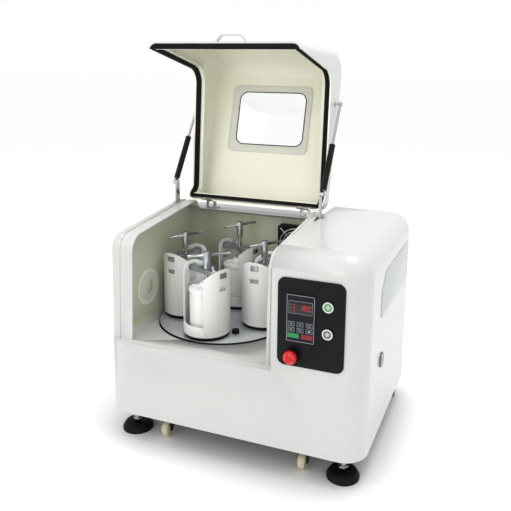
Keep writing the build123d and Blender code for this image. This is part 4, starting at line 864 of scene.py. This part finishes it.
class MILL_OT_controls(bpy.types.Operator):
    """Control plate with its keypad, push buttons, emergency stop and side lock"""

    bl_idname = "mill.controls"
    bl_label = "Controls"

    def execute(self, context):
        settings = context.scene.mill
        refine("control_panel", "cabinet", ("panel_film",), None, 0.6 * MM)
        refine("keypad", "cabinet", ("keypad_film",), None, 0.5 * MM)
        keypad = Keypad("keypad")
        self.keys(keypad, settings.key_rows)
        self.digits(keypad, settings.reading)
        collar_radius = 20 * MM
        stop = middle("estop_button")
        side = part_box("casing")[1][0]

        def kind(low, high):
            centre = (low + high) / 2
            if high.x > side:
                return 2
            return int((centre.x - stop.x) ** 2 + (centre.z - stop.z) ** 2 < collar_radius ** 2)

        bezel_coats = ("chrome", "black_plastic", "dark_chrome")
        refine("bezels", "cabinet", bezel_coats, None, 0.5 * MM, 3, sort=kind)
        self.button("start_button", "green_lens")
        self.button("stop_button", "dark_chrome")
        self.stop("estop_button")
        self.lock("lock_barrel")
        return {"FINISHED"}

    def keys(self, keypad, rows):
        """Border, display window, grey keys with signs, a green and a maroon key, and small lamps."""
        signs = ("down", "up", "ring", "left", "open ring", "square")
        columns = 3
        first_left, column_pitch, key_width = 0.08, 0.31, 0.22
        first_top, row_pitch, key_height = 0.57, 0.12, 0.09
        display = (0.1, 0.9), (0.14, 0.4)
        bm = bmesh.new()
        keypad.outline(bm, (0.03, 0.97), (0.02, 0.98), 0.5, 0.9)
        keypad.tile(bm, *display, 0.5, 0.3, 1)
        keypad.outline(bm, *display, 0.8, 0.6)
        for row in range(rows):
            top = first_top + row_pitch * row
            for column in range(columns):
                left = first_left + column_pitch * column
                key = (left, left + key_width), (top, top + key_height)
                keypad.tile(bm, *key, 0.9, 0.4, 2)
                keypad.outline(bm, *key, 1.2, 0.5)
                sign = signs[(row * columns + column) % len(signs)]
                keypad.sign(bm, left + key_width / 2, top + key_height / 2, sign)
        keypad.tile(bm, (0.06, 0.46), (0.81, 0.91), 1.0, 0.5, 4)
        keypad.tile(bm, (0.53, 0.93), (0.81, 0.91), 1.0, 0.5, 5)
        for across, material in ((0.17, 4), (0.27, 6)):
            for down in (0.21, 0.27, 0.33):
                keypad.tile(bm, (across, across + 0.035), (down, down + 0.02), 0.9, 0.2, material)
        coats = (
            "key_line", "display_glass", "key_grey", "key_line", "key_green", "key_maroon", "digit_red",
        )
        piece(bm, "keypad_keys", "cabinet", coats, 35.0)

    def digits(self, keypad, reading):
        """Digits of seven bars each, lettered a to g as on such displays."""
        bars = {
            "0": "abcdef", "1": "bc", "2": "abged", "3": "abgcd", "4": "fgbc",
            "5": "afgcd", "6": "afgedc", "7": "abc", "8": "abcdefg", "9": "abcdfg",
        }
        spots = {
            "a": (0.12, 0.88, 0.0, 0.1), "d": (0.12, 0.88, 0.9, 1.0), "g": (0.12, 0.88, 0.45, 0.55),
            "f": (0.0, 0.16, 0.06, 0.48), "b": (0.84, 1.0, 0.06, 0.48), "e": (0.0, 0.16, 0.52, 0.94),
            "c": (0.84, 1.0, 0.52, 0.94),
        }
        first_left, pitch, width = 0.47, 0.135, 0.085
        top, height = 0.215, 0.11
        bm = bmesh.new()
        for place, digit in enumerate(reading):
            left = first_left + pitch * place
            for letter in bars.get(digit, ""):
                u0, u1, v0, v1 = spots[letter]
                across = (left + u0 * width, left + u1 * width)
                keypad.tile(bm, across, (top + height * v0, top + height * v1), 0.8, 0.15)
        piece(bm, "display_digits", "cabinet", ("digit_red",), 35.0)

    def button(self, node, coat):
        """Push button: a dished head with a pale disc in its middle."""
        low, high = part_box(node)
        r, depth = (high[0] - low[0]) / 2, high[1] - low[1]
        spot = middle(node)
        place = facing((spot.x, high[1], spot.z), (0, -1, 0))
        bm = bmesh.new()
        head = [
            (0, 0), (r, 0), (r, depth - 1.5 * MM), (r - 0.5 * MM, depth - 0.6 * MM), (r - 1.4 * MM, depth),
            (r - 2 * MM, depth - 0.3 * MM), (0.5 * r, depth - 0.1 * MM), (0, depth),
        ]
        foot = depth - 0.05 * MM
        disc = [(0, foot), (0.5 * r, foot), (0.46 * r, depth + 0.5 * MM), (0, depth + 0.6 * MM)]
        lathe(bm, head, 48, 0, place)
        lathe(bm, disc, 40, 1, place)
        piece(bm, node + "_cap", node, (coat, "silver_cap"), 35.0, (node,))

    def stop(self, node):
        """Emergency stop: a red mushroom with three pale arrows round its top."""
        low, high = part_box(node)
        r, depth = (high[0] - low[0]) / 2, high[1] - low[1]
        spot = middle(node)
        place = facing((spot.x, high[1], spot.z), (0, -1, 0))
        stem = 0.5 * r
        back = depth - 14 * MM
        bm = bmesh.new()
        outline = [
            (0, 0), (stem, 0), (stem, back), (r - 2 * MM, back), (r, back + 1.5 * MM), (r, back + 7 * MM),
            (r - 0.6 * MM, back + 9 * MM), (r - 2.4 * MM, back + 11.2 * MM), (r - 5 * MM, back + 12.6 * MM),
            (0.55 * r, back + 13.5 * MM), (0.25 * r, back + 13.9 * MM), (0, depth),
        ]
        lathe(bm, outline, 64, 0, place)
        top = place @ Matrix.Translation((0, 0, back + 12.5 * MM))
        rise = 1.25 * MM
        tip_offset = Matrix.Translation((0.645 * r, 0, 0.62 * MM))
        for turn in (0, 120, 240):
            arc_band(bm, top, 0.58 * r, 0.13 * r, rise, math.radians(turn), math.radians(72), 1)
            tip = top @ Matrix.Rotation(math.radians(turn + 80), 4, "Z") @ tip_offset
            arrow_head(bm, tip, 0.22 * r, 0.2 * r, rise, 1)
        piece(bm, "estop_mushroom", node, ("red_plastic", "pale_red"), 40.0, (node,))

    def lock(self, node):
        """Barrel of the side lock with its dished face and key slot."""
        low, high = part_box(node)
        r, depth = (high[2] - low[2]) / 2, high[0] - low[0]
        spot = middle(node)
        place = facing((low[0], spot.y, spot.z), (1, 0, 0))
        dish = depth - 0.8 * MM
        slot_half = 0.6 * MM
        slot_low, slot_high = depth - 1.2 * MM, depth - 0.5 * MM
        bm = bmesh.new()
        outline = [
            (0, 0), (r, 0), (r, depth - 1 * MM), (r - 1 * MM, depth), (r - 2.2 * MM, depth),
            (r - 2.6 * MM, dish), (0, dish),
        ]
        lathe(bm, outline, 40, 0, place)
        low_corner, high_corner = (-slot_half, -0.5 * r, slot_low), (slot_half, 0.5 * r, slot_high)
        slab(bm, place, low_corner, high_corner, 0.1 * MM, 1, 1)
        piece(bm, "lock_face", node, ("chrome", "black_plastic"), 35.0, (node,))


class MILL_OT_feet(bpy.types.Operator):
    """Levelling feet and castors"""

    bl_idname = "mill.feet"
    bl_label = "Feet and castors"

    def execute(self, context):
        stud_limit = 30 * MM

        def kind(low, high):
            return int(high.x - low.x <= stud_limit)

        coats = ("foot_rubber", "bright_zinc")
        refine("levelling_feet", "cabinet", coats, None, 0.8 * MM, 3, 50.0, kind)
        for side in ("left", "right"):
            refine("castor_fork_" + side, "castor_fork_" + side, ("dark_fork",), None, 0.6 * MM)
        for place in ("front_left", "front_right", "rear_left", "rear_right"):
            self.wheel("wheel_" + place)
        return {"FINISHED"}

    def wheel(self, node):
        """Castor wheel with a domed tread and a dished web on both sides."""
        low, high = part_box(node)
        r, width = (high[2] - low[2]) / 2, high[0] - low[0]
        spot = middle(node)
        place = facing((low[0], spot.y, spot.z), (1, 0, 0))
        bore = 5.2 * MM
        half = [
            (bore, 0), (bore + 5 * MM, 0), (bore + 6 * MM, 2.2 * MM), (r - 7 * MM, 2.6 * MM),
            (r - 5.5 * MM, 0.4 * MM), (r - 3 * MM, 0.6 * MM), (r - 1 * MM, 0.2 * width), (r, 0.38 * width),
        ]
        outline = half + [(at, width - depth) for at, depth in reversed(half)] + [half[0]]
        bm = bmesh.new()
        lathe(bm, outline, 56, 0, place)
        piece(bm, node + "_tyre", node, ("ivory_nylon",), 38.0, (node,))


class MILL_PT_panel(bpy.types.Panel):
    """Sidebar panel of the mill"""

    bl_idname = "MILL_PT_panel"
    bl_label = "Mill"
    bl_space_type = "VIEW_3D"
    bl_region_type = "UI"
    bl_category = "Mill"

    def draw(self, context):
        layout = self.layout
        settings = context.scene.mill
        for name in MillSettings.__annotations__:
            layout.prop(settings, name)
        for operator in STEPS:
            layout.operator(operator.bl_idname)


STEPS = (
    MILL_OT_stage, MILL_OT_finishes, MILL_OT_casing, MILL_OT_lid, MILL_OT_struts, MILL_OT_planets,
    MILL_OT_turntable, MILL_OT_air, MILL_OT_controls, MILL_OT_feet,
)
CLASSES = (MillSettings, *STEPS, MILL_PT_panel)


def register():
    for cls in CLASSES:
        bpy.utils.register_class(cls)
    bpy.types.Scene.mill = PointerProperty(type=MillSettings)


def unregister():
    del bpy.types.Scene.mill
    for cls in reversed(CLASSES):
        bpy.utils.unregister_class(cls)


def main():
    register()
    for operator in STEPS:
        group, name = operator.bl_idname.split(".")
        getattr(getattr(bpy.ops, group), name)()


if __name__ == "__main__":
    main()
